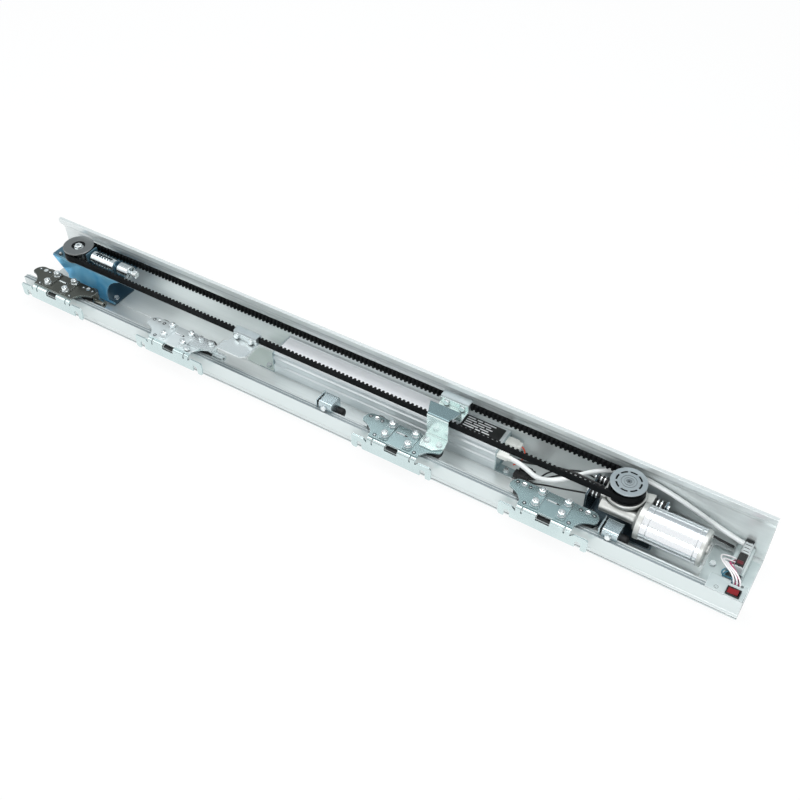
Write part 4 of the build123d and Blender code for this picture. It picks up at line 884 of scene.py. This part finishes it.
# Carriages: a pressed plate and a folded hanger clamped together by four bolts, on two wheels.
# Zinc plated sheet; the plates differ in tone, and the first is passivated a dark brown grey.
hanger_zinc = zinc_plate(
    "pale passivated zinc plate on hangers", "#D6E6E6", "#CBDCDD", 0.24, 60 * mm
)
plate_zincs = {
    1: zinc_plate("brown grey passivated zinc plate", "#6F706A", "#62645E", 0.26, 60 * mm),
    2: zinc_plate(
        "pale blue passivated zinc plate", "#F2F9FA", "#E6F0F2", 0.26, 60 * mm, metal_share=0.72
    ),
    3: zinc_plate("mid blue passivated zinc plate", "#A3B8BA", "#98ACAE", 0.26, 60 * mm),
    4: zinc_plate("deep blue passivated zinc plate", "#A6BDBF", "#9BB1B3", 0.26, 60 * mm),
}
rivet_zinc = zinc_plate(
    "dark passivated zinc plate on tubular rivets", "#4E595D", "#3A4448", 0.26, 20 * mm,
    metal_share=0.9, edge_width=0.3 * mm,
)
black_acetal = moulded("moulded black acetal", "#26292B", "#151718", 0.26, 0.38)
plate_top = 53
pad_top = 55
axle_x = 54
axle_y = -34
clamp_bolts = ((-22, -36), (22, -36), (-22, -61), (22, -61))
rivets = ((43, -35), (65.5, -35), (37.5, -67.5))
# On the right side of these carriages a belt clamp's bracket covers some rivets.
taken = {2: rivets, 3: rivets[:2]}
for number in range(1, 5):
    body = f"carriage_{number}"
    low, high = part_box(f"carriage_{number}_hanger")
    cx = (low[0] + high[0]) / 2 / mm
    dress(f"carriage_{number}_plate", plate_zincs[number])
    dress(f"carriage_{number}_hanger", hanger_zinc)
    for word in ("left", "right"):
        dress(f"carriage_{number}_wheel_{word}", black_acetal)

    mesh = bmesh.new()
    for dx, y in clamp_bolts:
        stand = on_axis(cx + dx, y, 0, (0, 0, 1))
        lathe(mesh, stand, [(0, 45.2), (5.2, 45.2), (5.5, 45.5), (5.5, 47), (0, 47)])
        washer = [
            (3.1, pad_top), (6.4, pad_top), (6.4, pad_top + 0.9), (6.1, pad_top + 1.2),
            (3.1, pad_top + 1.2),
        ]
        spring_ring = [
            (3.1, pad_top + 1.3), (5, pad_top + 1.3), (5, pad_top + 2.6), (3.1, pad_top + 2.6),
        ]
        lathe(mesh, stand, washer)
        lathe(mesh, stand, spring_ring)
        hexagon(mesh, stand, 10.4, pad_top + 2.7, pad_top + 8, 3)
        thread(mesh, stand, 3, 47, 65, 1.25)
    for side in (-1, 1):
        stand = on_axis(cx + side * axle_x, axle_y, 0, (0, 0, 1))
        lathe(
            mesh, stand,
            [
                (0, 30.6), (6.1, 30.6), (6.5, 31), (6.5, 32.6), (4, 32.6), (4, 43.4),
                (6, 43.4), (6, 50), (4, 50), (4, 53), (2.4, 52.6), (0, 52.6),
            ],
        )
    fasteners = add_piece(
        f"carriage_{number}_bolt_set", mesh, bright_zinc, body
    )
    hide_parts(f"carriage_{number}_fasteners")

    mesh = bmesh.new()
    pins = bmesh.new()
    for dx, y in rivets:
        for side in (-1, 1):
            if side == 1 and (dx, y) in taken.get(number, ()):
                continue
            stand = on_axis(cx + side * dx, y, plate_top, (0, 0, 1))
            rivet = [
                (0, -2.6), (2.5, -2.6), (2.5, 0), (3.3, 0), (3.3, 0.3), (2.7, 0.8), (2, 0.8),
                (1.8, 0.2), (0, 0.2),
            ]
            lathe(mesh, stand, rivet, 20)
            lathe(pins, stand, [(0, 0.25), (1.5, 0.25), (1.5, 0.7), (1.1, 1.1), (0, 1.15)], 16)
    bar = rounded(cx - 9.5, cx + 6.5, -44.7, -42.3, 0.8, 3)
    slab(pins, level, bar, plate_top - 1.5, plate_top + 1.1, 0.4)
    add_piece(f"carriage_{number}_rivets", mesh, rivet_zinc, body)
    add_piece(f"carriage_{number}_rivet_pins", pins, bright_zinc, body)

    # A black pad in the gap behind each hanger's window: a dark sheet that stands for shade there.
    mesh = bmesh.new()
    slab(mesh, level, rounded(cx - 11.6, cx + 11.6, -76.6, -66, 1), 41, 45.4, 0.4)
    add_piece(f"carriage_{number}_window_shade_pad", mesh, black_rubber, body)


# Belt clamps: a folded bracket on a carriage and a toothed jaw bolted over one strand of the belt.
# The jaws are die cast; bracket A is pale, and painted shade darkens bracket B's bridge.
shelf_zinc = zinc_plate(
    "pale passivated zinc plate on clamp A", "#DFE6E7", "#D4DCDE", 0.24, 60 * mm,
    metal_share=0.75,
)
dress("clamp_a_bracket", shelf_zinc)
bridge_zinc = zinc_plate(
    "green tinted zinc plate on clamp B", "#EEFAF8", "#DDEFED", 0.22, 60 * mm,
    metal_share=0.75,
)
# Painted shade darkens the bridge, above 98.2 mm.
shaded_by_height(bridge_zinc, 98.2 * mm, 98.8 * mm, 0.0, 1.0, "#82989C")
dress("clamp_b_bracket", bridge_zinc)
jaw_cast = die_cast("die cast zinc jaw", "#C2CBCD", "#A5B0B4")
for letter in "ab":
    dress(f"clamp_{letter}_jaw", jaw_cast)
    dress(f"clamp_{letter}_bolts", bright_zinc)


# Stoppers: a cap folded over the rail with a second plate beside it, a screw and a rubber buffer.
# Zinc plated sheet, even and mid grey beside the matt black buffer.
stopper_zinc = zinc_plate("zinc plate on folded stopper caps", "#C6D5D9", "#B8C8CD", 0.24, 60 * mm)
dress("stopper_clamps", stopper_zinc)
dress("stopper_buffers", black_rubber)
dress("track_screws", bright_zinc)


# Mains end: a folded bracket that carries the terminal block and the rocker switch.
# It is galvanised and lacquered, paler and duller than the plated brackets; the rocker is glossy.
mains_zinc = zinc_plate(
    "galvanised and lacquered mains bracket", "#D4DEDE", "#C2CECF", 0.3, 26 * mm,
    metal_share=0.6,
)
dress("mains_bracket", mains_zinc)
terminal_polyamide = moulded("moulded grey polyamide", "#D3D9DA", "#BBC2C4", 0.36, 0.48)
dress("terminal_block", terminal_polyamide)
bezel_abs = moulded("moulded black ABS", "#1B1B1C", "#101011", 0.22, 0.34)
dress("switch_bezel", bezel_abs)
rocker_red = moulded("moulded red polycarbonate", "#8F1019", "#640A11", 0.16, 0.24)
dress("switch_rocker", rocker_red)


# Terminal block dressing: black end covers, a marker strip with ribs, and a dark red fuse carrier.
# All of it is snapped into the top of the block.
terminal_top = 38
block_black = moulded("moulded black polyamide", "#16181A", "#0B0C0D", 0.3, 0.42)
mesh = bmesh.new()
for y1, y2, rise in ((52.6, 58, 0.7), (24.4, 28.4, 1.4), (2.6, 23.6, 2.6)):
    block = rounded(676.6, 689.4, y1, y2, 0.6, 2)
    slab(mesh, level, block, terminal_top - 4, terminal_top + rise, 0.5)
for y in (33, 39.5, 46):
    rib = rounded(679, 687.4, y, y + 1.1, 0.3, 2)
    slab(mesh, level, rib, terminal_top - 1, terminal_top + 0.9, 0.2)
add_piece("terminal_covers", mesh, block_black, "header")
mesh = bmesh.new()
slab(mesh, level, rounded(678, 688, 29.4, 51.6, 0.8, 2), terminal_top - 1, terminal_top + 0.5, 0.3)
add_piece("terminal_marker_strip", mesh, terminal_polyamide, "header")
fuse_red = moulded("moulded dark red fuse carrier", "#6E1226", "#4A0C1A", 0.25, 0.36)
mesh = bmesh.new()
slab(mesh, level, rounded(678.4, 687.6, 4.4, 11, 1.2, 3), terminal_top, terminal_top + 4, 0.8)
add_piece("fuse_carrier", mesh, fuse_red, "header")


# Mains wires: thin insulated wires looped from the terminal block into the slot by the switch.
# White, rose and light blue PVC, smooth with a soft sheen.
wire_white = moulded("extruded white wire insulation", "#F7F5F6", "#E8E4E6", 0.34, 0.44)
wires = run_wire(
    "mains_wires_smooth",
    [
        [
            (676, 5 + 7 * k, 31), (664 - 5 * k, 5 + 7 * k, 31), (666 - 5 * k, -12, 54),
            (698 - 5 * k, -37.5, 60), (698 - 5 * k, -37.5, 38),
        ]
        for k in range(3)
    ],
    2.4, wire_white,
)
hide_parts("mains_wires")
wire_rose = moulded("extruded rose wire insulation", "#D0417F", "#A92B62", 0.34, 0.44)
run_wire(
    "rose_wire",
    [
        [
            (676, 21, 26), (668, 14, 26), (672, -2, 40), (686, -18, 46), (690.5, -33, 52),
            (690.5, -37.5, 40),
        ],
        [
            (676, 16, 24), (671, 10, 24), (677, -6, 34), (688, -22, 42), (695.6, -32, 50),
            (695.6, -37.5, 40),
        ],
    ],
    2.4, wire_rose,
)
wire_blue = moulded("extruded light blue wire insulation", "#5FA0B8", "#3F7F99", 0.34, 0.44)
run_wire(
    "blue_wire",
    [
        [
            (676, 9, 21), (664, 2, 20), (664, -12, 22), (678, -24, 36), (685.5, -32, 50),
            (685.5, -37.5, 40),
        ],
        [
            (676, 4, 21), (667, -2, 18), (667, -15, 20), (676, -27, 30), (681.5, -33, 46),
            (681.5, -37.5, 40),
        ],
    ],
    2.4, wire_blue,
)


# Power symbol on the switch plate: a generic mark, pad printed.
# The ink is a thin, matt, dark grey film.
symbol_ink = moulded("dark grey pad printing ink", "#54595C", "#43484B", 0.4, 0.5)
symbol_at = on_axis(668, -56.5, 46, (0, 0, 1))
mesh = bmesh.new()
lathe(mesh, symbol_at, [(2.7, 0), (3.3, 0), (3.3, 0.05), (2.7, 0.05), (2.7, 0)])
slab(mesh, symbol_at, rounded(-0.3, 0.3, -0.4, 2.1, 0.1, 1), 0, 0.05, 0.02)
add_piece("power_symbol", mesh, symbol_ink, "header")
